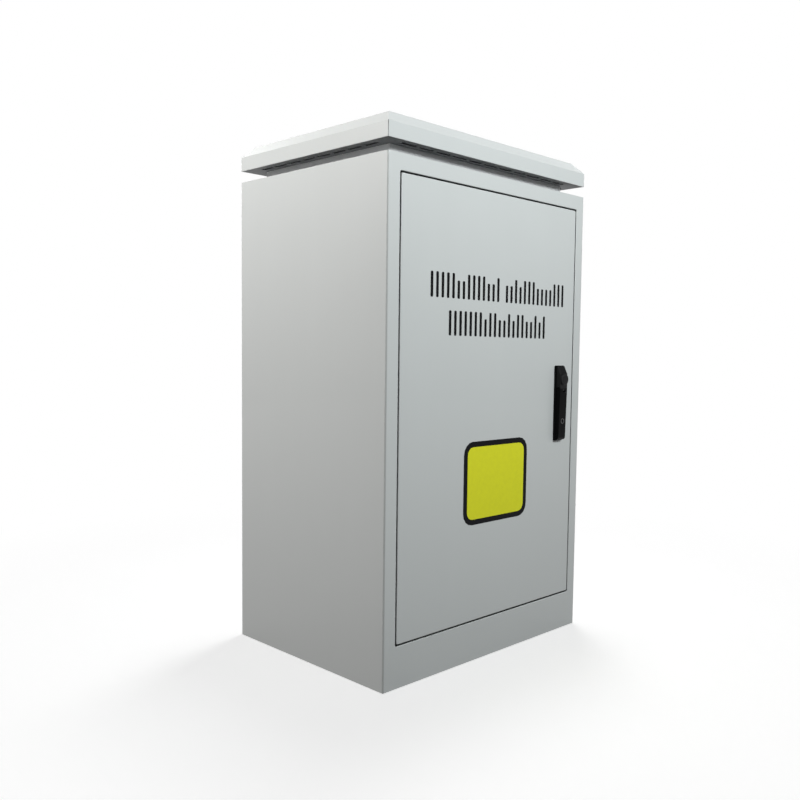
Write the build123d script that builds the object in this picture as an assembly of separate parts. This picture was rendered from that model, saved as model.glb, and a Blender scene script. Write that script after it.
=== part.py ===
from build123d import *
from math import acos, cos, pi, radians, sin, sqrt, tan
import os

# Street cabinet for a traffic signal controller: a folded steel box with one
# door, a raised rain canopy, a swing-handle rod lock and its inner equipment.
# Units are millimetres. X runs to the right of the door, the door faces -Y,
# Z is up. The origin is the middle of the footprint, on the ground.

# Cabinet body
body_width = 600.0
body_depth = 458.0
body_height = 976.0
sheet = 2.0
fold_radius = 3.0
edge_round = 1.8

# How far a cutting shape reaches past the wall that it opens
cut = 1.0

# Door opening: margins of the frame around it, the gap to the door, the rebate
frame_left = 30.5
frame_right = 26.5
frame_top = 30.5
frame_bottom = 80.0
door_gap = 3.0
door_corner = 3.5
door_depth = 20.0
door_return = 26.0
rebate_depth = 26.0
lip_width = 30.0
seat_gap = 0.3

# Door gasket
gasket_inset = 12.0
gasket_width = 12.0
gasket_bevel = 1.5

# Hat sections and document pocket inside the door
stiffener_width = 40.0
stiffener_foot = 12.0
stiffener_left = -130.0
stiffener_right = 60.0
stiffener_end_gap = 6.0
pocket_width = 232.0
pocket_height = 170.0
pocket_bottom = 620.0
pocket_depth = 32.0
pocket_sheet = 1.5
pocket_side_drop = 30.0
pocket_finger_radius = 38.0

# Concealed hinges
hinge_from_edge = 8.0
hinge_from_front = 6.0
hinge_length = 60.0
hinge_end_distance = 80.0
knuckle_radius = 3.5
knuckle_length = 24.0
knuckle_gap = 0.2
knuckle_clear = 0.7
hinge_pin_radius = 1.8
hinge_pin_head_radius = 2.7
hinge_pin_head = 1.2
running_gap = 0.05
hinge_arm = 3.0
hinge_arm_shift = 0.5
hinge_foot_margin = 1.0
hinge_leaf_width = 27.0
hinge_leaf = 2.5
hinge_notch_gap = 2.0

# Raised canopy
neck_inset = 38.5
neck_height = 23.5
neck_flange = 18.0
skirt_height = 28.0
hip_inset = 22.0
hip_rise = 23.0
tray_slack = 0.2
tray_lip = 10.0
canopy_vent_length = 36.0
canopy_vent_width = 8.0
canopy_vent_pitch = 46.0
canopy_bolt_radius = 4.0
canopy_bolt_gap = 0.3
canopy_bolt_across = 13.0
canopy_bolt_head = 5.0
canopy_bolt_nut = 6.0

# Floor, anchors and cable entry
anchor_inset_x = 50.0
anchor_inset_y = 50.0
anchor_hole_radius = 7.0
entry_width = 380.0
entry_depth = 150.0
entry_y = 100.0
gland_plate_margin = 18.0
gland_plate_sheet = 3.0
gland_plate_rise = 10.0
gland_plate_corner = 6.0
gland_tray_corner = 4.0
gland_screw_radius = 2.5
gland_screw_gap = 0.2
gland_screw_across = 8.0
gland_screw_head = 3.0
gland_count = 5
gland_pitch = 66.0
gland_bore_radius = 9.0
gland_thread_radius = 12.5
gland_across = 29.5
gland_nut = 5.0
gland_hexagon = 9.0
gland_cap_across = 26.0
gland_cap_top_across = 22.0
gland_cap_straight = 11.0
gland_cap_taper = 4.0

# Swing-handle lock
lock_from_edge = 53.0
lock_boss_z = 568.0
lock_base_top = 30.4
lock_length = 166.0
lock_width = 29.0
lock_corner = 3.0
lock_bevel = 0.6
lock_base = 4.3
lock_gasket = 1.0
lock_gasket_inset = 0.6
lock_screw_radius = 2.0
lock_screw_gap = 0.6
lock_screw_bite = 3.0
lock_screw_across = 8.0
lock_screw_head = 4.0
lock_screw_from_end = 14.0
lock_screw_drop = 60.0
lever_width = 26.0
lever_proud_top = 16.5
lever_proud_end = 14.0
lever_end_round = 7.5
lever_end_margin = 1.6
lever_round = 0.7
lever_hollow_depth = 4.2
lever_wall = 3.0
lever_ring_gap = 0.15
head_facet_drop = 18.0
head_edge_proud = 2.5
head_edge_margin = 1.2
head_round = 1.2
cap_radius = 13.0
cap_proud = 19.5
cap_bevel = 1.0
cap_seat = 1.5
cap_seat_shoulder = 3.0
pin_drop = 22.0
lever_pin_radius = 2.0
lever_pin_short = 0.2
ear_width = 8.0
ear_clear = 0.5
ear_neck = 5.0
spindle_radius = 6.0
spindle_bite = 7.0
spindle_length_inside = 9.3
clamp_boss_radius = 11.0
clamp_boss_length = 9.0
clamp_boss_gap = 0.2
clamp_nut_across = 32.0
clamp_nut = 5.0
drive_square = 8.0
tail_radius = 3.5
tail_length = 3.0
clip_gap = 0.3
clip_sheet = 1.2
clip_width = 3.0
clip_mouth = 4.8
key_drop = 92.0
key_radius = 5.5
key_sink = 0.4
key_back_gap = 0.8
key_slot_width = 1.2
key_slot_length = 7.2
key_slot_depth = 4.0
key_cam_width = 6.0
key_cam_length = 9.0
key_cam_sheet = 2.0
key_cam_room = 11.0
handle_angle = 90.0

# Rack-and-pinion rod drive
gear_module = 1.5
pinion_teeth = 12
pressure_angle = 25.0
tooth_addendum = 1.2
tooth_dedendum = 1.6
tooth_play = 0.12
flank_steps = 5
pinion_hub_step = 0.5
pinion_hub_gap = 0.3
rod_thickness = 6.0
rod_back = 8.0
rod_behind_lip = 1.5
rod_tip_gap = 0.8
rod_tip_taper = 4.0
rod_inner_overlap = 12.0
guide_height = 12.0
guide_wall = 2.5
guide_slide = 0.3
guide_foot = 3.0
guide_from_end = 60.0
upper_guide_rise = 110.0
lower_guide_drop = 150.0
gearbox_wall = 2.5
gearbox_cover = 2.2
gearbox_room = 0.9
gearbox_side_room = 1.0
gearbox_rod_gap = 0.4
gearbox_length = 84.0
gearbox_corner = 4.0
gearbox_inner_corner = 2.0
gearbox_bevel = 1.2

# Rear mounting plate
plate_from_back = 24.0
plate_sheet = 2.5
plate_width = 500.0
plate_bottom = 70.0
plate_from_top = 76.0
plate_fold = 10.0
stud_inset = 14.0
stud_end_distance = 30.0
stud_radius = 4.0
stud_gap = 0.2
stud_spacer_across = 16.0
stud_nut_across = 13.0
stud_nut = 6.0
stud_tail = 5.5

# Rack posts and card frame
post_from_front = 79.0
post_flange = 33.0
post_return = 40.0
post_hole = 9.0
post_hole_inset = 7.5
post_hole_pitch = 44.45
post_end_distance = 60.0
rack_ear_width = 482.6
ear_hole_inset = 8.8
ear_sheet = 3.0
rack_hole_offset = 37.0
rack_hole_steps = 4
rack_screw_radius = 2.9
rack_screw_gap = 0.5
rack_screw_across = 10.0
rack_screw_head = 4.0
rack_screw_length = 9.0
chassis_side_gap = 10.0
chassis_height = 265.9
chassis_depth = 240.0
chassis_bottom = 480.0
chassis_sheet = 2.0
chassis_vent_length = 80.0
chassis_vent_width = 8.0
chassis_vent_columns = 7
chassis_vent_pitch = 56.5
chassis_vent_front = 70.0
chassis_vent_row = 100.0

# Plug-in units: their widths are given in steps of the card frame's guide rail
guide_steps = 212
module_steps = {"power": 35, "logic": 42, "driver": 17, "detector": 25}
module_order = ["power", "logic"] + ["driver"] * 5 + ["detector"] * 2
module_side_gap = 0.2
module_end_gap = 1.0
module_height_gap = 0.5
panel_sheet = 2.5
board_sheet = 1.6
board_short = 30.0
board_margin = 4.0
grip_width = 8.0
grip_proud = 16.0
grip_bar = 5.0
grip_bottom = 10.0
grip_length = 36.0
grip_slope = 3.0
grip_leg = 6.0
fuse_cap_radius = 7.5
fuse_cap_proud = 9.0
fuse_cap_drop = 60.0
fuse_cap_pitch = 24.0
display_width = 60.0
display_height = 40.0
display_drop = 22.0
display_sink = 1.0
key_pad_drop = 84.0
key_pad_count = 4
key_pad_pitch_x = 14.0
key_pad_pitch_z = 13.0
key_pad_width = 9.0
key_pad_height = 8.0
key_pad_proud = 2.4

# Rail-mounted gear
rail_width = 35.0
rail_depth = 7.5
rail_brim = 4.0
rail_sheet = 1.5
rail_length = 440.0
upper_rail_z = 345.0
lower_rail_z = 185.0
device_depth = 66.0
device_shoulder = 50.0
device_height = 82.0
device_nose = 45.0
device_side_gap = 0.1
device_gap = 18.0
breaker_from_end = 20.0
breaker_width = 18.0
breaker_count = 3
breaker_wall = 4.4
toggle_side_gap = 0.4
toggle_sink = 5.0
toggle_drum_radius = 7.8
toggle_drum_gap = 0.5
toggle_pin_radius = 1.5
toggle_reach = 17.0
toggle_root = 5.0
toggle_root_height = 6.0
toggle_tip_height = 4.0
toggle_tilt = 24.0
surge_width = 36.0
surge_groove = 0.8
surge_groove_depth = 12.5
socket_width = 45.0
socket_rim = 4.0
socket_well_radius = 19.5
socket_well_depth = 16.0
thermostat_width = 33.0
thermostat_bore_depth = 6.0
knob_shaft_radius = 2.5
knob_shaft_length = 5.0
knob_radius = 11.0
knob_height = 7.0
knob_sides = 12
knob_slot_width = 1.4
knob_slot_depth = 1.0
knob_slot_length = 9.0
terminal_width = 8.0
terminal_count = 27
terminal_height = 48.0
terminal_top_height = 24.0
terminal_depth = 38.0
terminal_shoulder = 22.0
terminal_entry = 4.0
terminal_entry_depth = 8.0
terminal_entry_offset = 8.0
terminal_wall = 1.4

# Wiring ducts
duct_width = 40.0
duct_depth = 50.0
duct_wall = 1.8
duct_slot = 8.0
duct_slot_pitch = 24.0
duct_slot_root = 14.0
duct_cover_lip = 6.0
upper_duct_rise = 82.0
lower_duct_drop = 75.0

# Earth bar
earth_bar_z = 50.0
earth_bar_length = 240.0
earth_bar_height = 20.0
earth_bar_sheet = 5.0
earth_bar_from_back = 34.0
insulator_radius = 9.0
insulator_inset = 14.0

# Fan under the deck
fan_y = 60.0
fan_size = 119.0
fan_depth = 38.0
fan_corner = 6.0
fan_bore_radius = 56.0
fan_wall = 2.5
fan_flange = 5.0
fan_pillar = 15.0
fan_arm_width = 5.0
fan_arm_turn = 20.0
fan_screw_pitch = 105.0
fan_screw_radius = 2.2
fan_screw_gap = 0.2
fan_screw_across = 7.0
fan_screw_head = 2.5
fan_tip_gap = 1.5
fan_hub_radius = 22.0
fan_hub_wall = 2.5
fan_hub_from_end = 6.0
fan_hub_floor = 8.0
fan_hub_core_radius = 6.0
fan_shaft_radius = 2.5
fan_blades = 7
fan_blade_sheet = 1.8
fan_blade_chord = 26.0
fan_blade_pitch = 35.0
guard_sheet = 2.0
guard_gap = 9.0
guard_pitch = 15.0
guard_rings = 3
guard_first_radius = 20.0
guard_rim = 1.0
guard_spoke = 3.0
guard_ear_radius = 5.5

# Lamp under the deck
lamp_length = 260.0
lamp_width = 32.0
lamp_height = 24.0
lamp_from_front = 60.0
lamp_bevel = 6.0
lamp_lens_inset = 8.0
lamp_switch_length = 30.0
lamp_lens_width = 24.0
lamp_lens_depth = 6.0

# Derived places
front = -body_depth / 2
back = body_depth / 2
deck_under = body_height - sheet
open_left = -body_width / 2 + frame_left
open_right = body_width / 2 - frame_right
open_bottom = frame_bottom
open_top = body_height - frame_top
door_left = open_left + door_gap
door_right = open_right - door_gap
door_bottom = open_bottom + door_gap
door_top = open_top - door_gap
door_inner = front + sheet
door_back = front + door_depth
lip_front = front + rebate_depth
lip_back = lip_front + sheet
hinge_x = door_left + hinge_from_edge
hinge_y = front + hinge_from_front
neck_width = body_width - 2 * neck_inset
neck_depth = body_depth - 2 * neck_inset
canopy_bottom = body_height + neck_height
skirt_top = canopy_bottom + skirt_height
canopy_top = skirt_top + hip_rise
gland_seat = sheet + gland_plate_rise
gland_top = gland_seat + gland_plate_sheet
lock_x = door_right - lock_from_edge
lock_top = lock_boss_z + lock_base_top
lock_bottom = lock_top - lock_length
base_front = front - lock_gasket - lock_base
lever_back = base_front - seat_gap
lever_top_face = front - lever_proud_top
lever_end_face = front - lever_proud_end
pin_back = (lever_back - lever_top_face) / 2
pin_y = lever_back - pin_back
pin_z = lock_boss_z - pin_drop
key_z = lock_boss_z - key_drop
pitch_radius = gear_module * pinion_teeth / 2
rod_near = pitch_radius + tooth_dedendum
rod_travel = pitch_radius * radians(handle_angle)
rod_front = lip_back + rod_behind_lip
rod_rear = rod_front + rod_thickness
gearbox_inner = rod_rear + gearbox_room
gearbox_back = gearbox_inner + gearbox_cover
plate_rear = back - plate_from_back
plate_face = plate_rear - plate_sheet
plate_top = body_height - plate_from_top
post_y = front + post_from_front
rack_hole_x = rack_ear_width / 2 - ear_hole_inset
post_inner = rack_hole_x - post_hole_inset
post_outer = post_inner + post_flange
chassis_width = 2 * (post_inner - chassis_side_gap)
chassis_top = chassis_bottom + chassis_height
module_bottom = chassis_bottom + chassis_sheet + module_height_gap
module_top = chassis_top - chassis_sheet - module_height_gap
device_face = plate_face - device_depth
breaker_start = -rail_length / 2 + breaker_from_end
surge_start = breaker_start + breaker_count * breaker_width + device_gap
socket_start = surge_start + surge_width + device_gap
thermostat_start = socket_start + socket_width + device_gap
thermostat_x = thermostat_start + thermostat_width / 2
toggle_y = device_face + toggle_sink
duct_front = plate_face - duct_depth
earth_bar_y = back - sheet - earth_bar_from_back
fan_bottom = deck_under - fan_depth
lamp_y = front + lamp_from_front


def block(x0, x1, y0, y1, z0, z1):
    """A box given by its two corners."""
    return Pos((x0 + x1) / 2, (y0 + y1) / 2, (z0 + z1) / 2) * Box(abs(x1 - x0), y1 - y0, z1 - z0)


def panel_y(x0, x1, z0, z1, y0, y1, radius):
    """An upright plate between two depths, with rounded corners."""
    outline = RectangleRounded(x1 - x0, z1 - z0, radius)
    place = Plane.XZ.offset(-y1) * Pos((x0 + x1) / 2, (z0 + z1) / 2)
    return extrude(place * outline, y1 - y0)


def frame_y(x0, x1, z0, z1, y0, y1, width, radius):
    """An upright rectangular ring of one width."""
    inner_radius = max(radius - width, sheet / 2)
    outer = panel_y(x0, x1, z0, z1, y0, y1, radius)
    return outer - panel_y(x0 + width, x1 - width, z0 + width, z1 - width, y0, y1, inner_radius)


def rod_y(x, z, y0, y1, radius):
    """A round bar along Y."""
    return Pos(x, (y0 + y1) / 2, z) * Rot(90, 0, 0) * Cylinder(radius, y1 - y0)


def rod_z(x, y, z0, z1, radius):
    """A round bar along Z."""
    return Pos(x, y, (z0 + z1) / 2) * Cylinder(radius, z1 - z0)


def rod_x(x0, x1, y, z, radius):
    """A round bar along X."""
    return Pos((x0 + x1) / 2, y, z) * Rot(0, 90, 0) * Cylinder(radius, x1 - x0)


def hexagon(across):
    """A hexagon given across its flats."""
    return RegularPolygon(across / sqrt(3), 6)


def hex_y(x, z, y0, y1, across):
    """A hexagon bar along Y."""
    return extrude(Plane.XZ.offset(-y1) * Pos(x, z) * hexagon(across), y1 - y0)


def hex_z(x, y, z0, z1, across):
    """A hexagon bar along Z."""
    return extrude(Pos(x, y, z0) * hexagon(across), z1 - z0)


def slab_z(width, depth, z0, z1):
    """A level rectangular slab centred on the cabinet's upright axis."""
    return extrude(Pos(0, 0, z0) * Rectangle(width, depth), z1 - z0)


def profile_x(points, x0, x1):
    """A side outline in (y, z), drawn out along X."""
    face = make_face(Polyline(*[(x0, y, z) for y, z in points], close=True))
    return extrude(face, x1 - x0, dir=(1, 0, 0))


def four_corners(x, y):
    """The four mirrored places of one corner."""
    return [(-x, -y), (x, -y), (-x, y), (x, y)]


def spread(count, pitch):
    """Places in a row, centred on zero."""
    return [(i - (count - 1) / 2) * pitch for i in range(count)]


# Cabinet body

def anchor_places():
    return four_corners(body_width / 2 - anchor_inset_x, body_depth / 2 - anchor_inset_y)


def fan_screw_places():
    half = fan_screw_pitch / 2
    return [(x, fan_y + y) for x, y in four_corners(half, half)]


def canopy_bolt_places():
    inset = sheet + neck_flange / 2
    return four_corners(neck_width / 2 - inset, neck_depth / 2 - inset)


def opening_edges(shell):
    """The outer edges of the door opening, in the plane of the front sheet."""
    found = shell.edges().filter_by_position(Axis.Y, front - seat_gap, front + seat_gap)
    return [e for e in found if open_left - cut < e.center().X < open_right + cut
            and open_bottom - cut < e.center().Z < open_top + cut]


def cabinet_shell():
    """Folded box with floor and deck, the rebate round the door and its inner lip."""
    outer = extrude(RectangleRounded(body_width, body_depth, fold_radius), body_height)
    hollow = RectangleRounded(body_width - 2 * sheet, body_depth - 2 * sheet, fold_radius - sheet)
    shell = outer - Pos(0, 0, sheet) * extrude(hollow, body_height - 2 * sheet)
    shell -= panel_y(open_left, open_right, open_bottom, open_top, front - cut, door_inner + cut,
                     door_corner)
    wall = frame_y(open_left - sheet, open_right + sheet, open_bottom - sheet, open_top + sheet,
                   door_inner, lip_back, sheet, door_corner + sheet)
    lip = frame_y(open_left, open_right, open_bottom, open_top, lip_front, lip_back, lip_width,
                  door_corner)
    shell += wall + lip
    shell = fillet(opening_edges(shell), edge_round)
    shell -= Pos(0, entry_y, 0) * Box(entry_width, entry_depth, 4 * sheet)
    for x, y in anchor_places():
        shell -= rod_z(x, y, -cut, sheet + cut, anchor_hole_radius)
    shell -= rod_z(0, fan_y, deck_under - cut, body_height + cut, fan_bore_radius)
    for x, y in fan_screw_places():
        shell -= rod_z(x, y, deck_under - cut, body_height + cut, fan_screw_radius)
    for x, y in canopy_bolt_places():
        shell -= rod_z(x, y, deck_under - cut, body_height + cut, canopy_bolt_radius)
    return shell


def gland_places():
    return spread(gland_count, gland_pitch)


def gland_screw_places():
    x = (entry_width + gland_plate_margin) / 2
    y = (entry_depth + gland_plate_margin) / 2
    return [(side * x, entry_y + end * y) for side in (-1, 0, 1) for end in (-1, 1)]


def gland_plate():
    """Raised tray over the cable entry, screwed to the floor by its outer flange."""
    width = entry_width + 2 * gland_plate_margin
    depth = entry_depth + 2 * gland_plate_margin
    wall = gland_plate_sheet
    place = Pos(0, entry_y, sheet)
    flange = RectangleRounded(width, depth, gland_plate_corner)
    raised = RectangleRounded(entry_width, entry_depth, gland_tray_corner)
    hollow = RectangleRounded(entry_width - 2 * wall, entry_depth - 2 * wall, gland_tray_corner - wall)
    plate = place * extrude(flange, wall) + place * extrude(raised, gland_plate_rise + wall)
    plate -= place * extrude(hollow, gland_plate_rise)
    for x in gland_places():
        plate -= rod_z(x, entry_y, 0, gland_top + cut, gland_thread_radius)
    for x, y in gland_screw_places():
        plate -= rod_z(x, y, 0, sheet + wall + cut, gland_screw_radius)
    return plate


def cable_glands():
    """Hollow glands: lock nut below the plate, hexagon and tapered cap nut above it."""
    body_top = gland_top + gland_hexagon
    cap_shoulder = body_top + gland_cap_straight
    cap_top = cap_shoulder + gland_cap_taper
    glands = []
    for x in gland_places():
        gland = hex_z(x, entry_y, gland_seat - gland_nut, gland_seat, gland_across)
        gland += rod_z(x, entry_y, gland_seat - gland_nut, body_top, gland_thread_radius)
        gland += hex_z(x, entry_y, gland_top, body_top, gland_across)
        gland += hex_z(x, entry_y, body_top, cap_shoulder, gland_cap_across)
        gland += loft([Pos(x, entry_y, cap_shoulder) * hexagon(gland_cap_across),
                       Pos(x, entry_y, cap_top) * hexagon(gland_cap_top_across)])
        glands.append(gland - rod_z(x, entry_y, 0, cap_top + cut, gland_bore_radius))
    return glands


def gland_plate_screws():
    top = sheet + gland_plate_sheet
    return [rod_z(x, y, sheet, top, gland_screw_radius - gland_screw_gap)
            + hex_z(x, y, top, top + gland_screw_head, gland_screw_across)
            for x, y in gland_screw_places()]


# Raised canopy

def canopy_neck():
    """Folded collar between deck and canopy, with a flange that lies on the deck."""
    inside = 2 * sheet
    inset = 2 * (sheet + neck_flange)
    ring = slab_z(neck_width, neck_depth, body_height, canopy_bottom)
    ring -= slab_z(neck_width - inside, neck_depth - inside, body_height + sheet, canopy_bottom)
    ring -= slab_z(neck_width - inset, neck_depth - inset, body_height, body_height + sheet)
    for x, y in canopy_bolt_places():
        ring -= rod_z(x, y, body_height - cut, body_height + sheet + cut, canopy_bolt_radius)
    return ring


def canopy_form(inset, bottom, top_drop):
    """The canopy's outside, or its hollow when inset and lowered by the sheet."""
    width = body_width - 2 * inset
    depth = body_depth - 2 * inset
    slope_shift = inset * (1 - tan(pi / 8))
    knee = skirt_top - slope_shift * hip_rise / hip_inset
    lid = canopy_top - top_drop
    run = (lid - knee) * hip_inset / hip_rise
    hip = loft([Pos(0, 0, knee) * Rectangle(width, depth),
                Pos(0, 0, lid) * Rectangle(width - 2 * run, depth - 2 * run)])
    return slab_z(width, depth, bottom, knee) + hip


def canopy_hood():
    """Outer sheet of the canopy: upright skirt and four sloping hips round a flat top."""
    hood = canopy_form(0, canopy_bottom, 0)
    hood = fillet(hood.edges().filter_by(Axis.Z), edge_round)
    return hood - canopy_form(sheet, canopy_bottom - cut, sheet)


def canopy_base():
    """Tray that closes the canopy from below, with air slots round the neck."""
    width = body_width - 2 * (sheet + tray_slack)
    depth = body_depth - 2 * (sheet + tray_slack)
    inset = 2 * (sheet + neck_flange)
    floor_top = canopy_bottom + sheet
    tray = slab_z(width, depth, canopy_bottom, floor_top + tray_lip)
    tray -= slab_z(width - 2 * sheet, depth - 2 * sheet, floor_top, floor_top + tray_lip)
    tray -= slab_z(neck_width - inset, neck_depth - inset, canopy_bottom - cut, floor_top + cut)
    row_x = (width + neck_width) / 4
    row_y = (depth + neck_depth) / 4
    for x in spread(int(neck_width / canopy_vent_pitch), canopy_vent_pitch):
        for y in (-row_y, row_y):
            tray -= Pos(x, y, canopy_bottom) * Box(canopy_vent_length, canopy_vent_width, 4 * sheet)
    for y in spread(int(neck_depth / canopy_vent_pitch), canopy_vent_pitch):
        for x in (-row_x, row_x):
            tray -= Pos(x, y, canopy_bottom) * Box(canopy_vent_width, canopy_vent_length, 4 * sheet)
    for x, y in canopy_bolt_places():
        tray -= rod_z(x, y, canopy_bottom - cut, floor_top + cut, canopy_bolt_radius)
    return tray


def canopy_bolts():
    """Bolts from below the deck through neck and tray, with hexagon spacers between."""
    bolts = []
    nut_bottom = canopy_bottom + sheet
    for x, y in canopy_bolt_places():
        bolt = rod_z(x, y, deck_under, nut_bottom, canopy_bolt_radius - canopy_bolt_gap)
        bolt += hex_z(x, y, deck_under - canopy_bolt_head, deck_under, canopy_bolt_across)
        bolt += hex_z(x, y, body_height + sheet, canopy_bottom, canopy_bolt_across)
        bolt += hex_z(x, y, nut_bottom, nut_bottom + canopy_bolt_nut, canopy_bolt_across)
        bolts.append(bolt)
    return bolts


# Door

def hinge_places():
    low = door_bottom + hinge_end_distance
    high = door_top - hinge_end_distance
    return [low, (low + high) / 2, high]


def lock_screw_places():
    return [lock_bottom + lock_screw_from_end, lock_boss_z - lock_screw_drop]


def door_panel():
    """Folded tray: skin, edge flanges and a return that carries the gasket."""
    tray = panel_y(door_left, door_right, door_bottom, door_top, front, door_back, door_corner)
    tray -= panel_y(door_left + sheet, door_right - sheet, door_bottom + sheet, door_top - sheet,
                    door_inner, door_back - sheet, door_corner - sheet)
    tray -= panel_y(door_left + door_return, door_right - door_return, door_bottom + door_return,
                    door_top - door_return, door_inner, door_back + cut, door_corner)
    tray = fillet(tray.faces().sort_by(Axis.Y)[0].edges(), edge_round)
    half = hinge_length / 2 + hinge_notch_gap
    for z in hinge_places():
        tray -= block(door_left - cut, hinge_x + hinge_arm + knuckle_clear, door_inner,
                      door_back + cut, z - half, z + half)
    tray -= rod_y(lock_x, lock_boss_z, front - cut, door_inner + cut,
                  clamp_boss_radius + clamp_boss_gap)
    for z in lock_screw_places():
        tray -= rod_y(lock_x, z, front - cut, door_inner + cut, lock_screw_radius + lock_screw_gap)
    return tray


def door_gasket():
    """Foamed seal on the door's return, bevelled where it meets the lip."""
    inset = gasket_inset
    ring = frame_y(door_left + inset, door_right - inset, door_bottom + inset, door_top - inset,
                   door_back, lip_front - seat_gap, gasket_width, door_corner + gasket_width)
    return chamfer(ring.faces().sort_by(Axis.Y)[-1].edges(), gasket_bevel)


def door_stiffeners():
    """Two hat sections welded upright to the door's inner face."""
    low = door_bottom + door_return + stiffener_end_gap
    high = door_top - door_return - stiffener_end_gap
    crest = door_back - sheet
    half = stiffener_width / 2
    foot = half + stiffener_foot
    hats = []
    for x in (stiffener_left, stiffener_right):
        hat = block(x - half, x + half, door_inner, crest, low, high)
        hat += block(x - foot, x + foot, door_inner, door_inner + sheet, low, high)
        hats.append(hat - block(x - half + sheet, x + half - sheet, door_inner, crest - sheet,
                                low - cut, high + cut))
    return hats


def document_pocket():
    """Sheet pocket for the wiring plans, screwed on the stiffeners."""
    x = (stiffener_left + stiffener_right) / 2
    rear = door_back - sheet
    nose = rear + pocket_depth
    top = pocket_bottom + pocket_height
    half = pocket_width / 2
    wall = pocket_sheet
    pocket = block(x - half, x + half, rear, nose, pocket_bottom, top)
    pocket -= block(x - half + wall, x + half - wall, rear + wall, nose - wall,
                    pocket_bottom + wall, top + cut)
    pocket -= rod_y(x, top, nose - wall - cut, nose + cut, pocket_finger_radius)
    slope = [(rear + wall, top + cut), (nose + cut, top + cut), (nose + cut, top - pocket_side_drop)]
    return pocket - profile_x(slope, x - half - cut, x - half + wall) - profile_x(
        slope, x + half - wall, x + half + cut)


def hinge_frame_leaves():
    """Fixed leaves: a foot welded to the frame's lip and an arm with two knuckles."""
    leaves = []
    arm_left = hinge_x - hinge_arm_shift
    reach = knuckle_radius + cut
    half = knuckle_length / 2 + knuckle_gap
    for z in hinge_places():
        low = z - hinge_length / 2
        high = z + hinge_length / 2
        leaf = block(arm_left, arm_left + hinge_arm, hinge_y, lip_front, low, high)
        leaf += block(open_left + hinge_foot_margin, arm_left + hinge_arm, lip_front - hinge_arm,
                      lip_front, low, high)
        leaf += rod_z(hinge_x, hinge_y, low, high, knuckle_radius)
        leaf -= block(hinge_x - reach, hinge_x + reach, hinge_y - reach,
                      hinge_y + knuckle_radius + knuckle_clear, z - half, z + half)
        leaves.append(leaf - rod_z(hinge_x, hinge_y, low - cut, high + cut, hinge_pin_radius))
    return leaves


def hinge_pins():
    """Headed pins, pressed into the fixed knuckles."""
    half = hinge_length / 2
    return [rod_z(hinge_x, hinge_y, z - half, z + half, hinge_pin_radius)
            + rod_z(hinge_x, hinge_y, z + half, z + half + hinge_pin_head, hinge_pin_head_radius)
            for z in hinge_places()]


def hinge_door_leaves():
    """Moving leaves: one knuckle and a plate welded flat on the door's inner face."""
    leaves = []
    half = knuckle_length / 2
    full = hinge_length / 2
    outer = hinge_x + hinge_leaf_width
    face = door_inner + hinge_leaf
    for z in hinge_places():
        leaf = rod_z(hinge_x, hinge_y, z - half, z + half, knuckle_radius)
        leaf += block(hinge_x, outer, door_inner, face, z - half, z + half)
        leaf += block(hinge_x + knuckle_radius + knuckle_clear, outer, door_inner, face,
                      z - full, z + full)
        leaves.append(leaf - rod_z(hinge_x, hinge_y, z - full, z + full,
                                   hinge_pin_radius + running_gap))
    return leaves


# Swing-handle lock

def lock_base_plate():
    """Flat base with the bearing boss that goes through the door."""
    half = lock_width / 2
    rear = front - lock_gasket
    base = panel_y(lock_x - half, lock_x + half, lock_bottom, lock_top, base_front, rear, lock_corner)
    base = chamfer(base.faces().sort_by(Axis.Y)[0].edges(), lock_bevel)
    base += rod_y(lock_x, lock_boss_z, rear, front + clamp_boss_length, clamp_boss_radius)
    base -= rod_y(lock_x, lock_boss_z, base_front - cut, front + clamp_boss_length + cut,
                  spindle_radius + running_gap)
    for z in lock_screw_places():
        base -= rod_y(lock_x, z, rear - lock_screw_bite, front, lock_screw_radius)
    return base


def lock_gasket_pad():
    """Flat seal between the lock's base and the door."""
    half = lock_width / 2 - lock_gasket_inset
    pad = panel_y(lock_x - half, lock_x + half, lock_bottom + lock_gasket_inset,
                  lock_top - lock_gasket_inset, front - lock_gasket, front,
                  lock_corner - lock_gasket_inset)
    pad -= rod_y(lock_x, lock_boss_z, front - lock_gasket - cut, front + cut, clamp_boss_radius)
    for z in lock_screw_places():
        pad -= rod_y(lock_x, z, front - lock_gasket - cut, front + cut,
                     lock_screw_radius + lock_screw_gap)
    return pad


def lock_clamp_nut():
    nut = hex_y(lock_x, lock_boss_z, door_inner, door_inner + clamp_nut, clamp_nut_across)
    return nut - rod_y(lock_x, lock_boss_z, door_inner - cut, door_inner + clamp_nut + cut,
                       clamp_boss_radius)


def lock_screws():
    """Screws from inside the door into the lock's base."""
    start = front - lock_gasket - lock_screw_bite
    return [rod_y(lock_x, z, start, door_inner, lock_screw_radius)
            + hex_y(lock_x, z, door_inner, door_inner + lock_screw_head, lock_screw_across)
            for z in lock_screw_places()]


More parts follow.
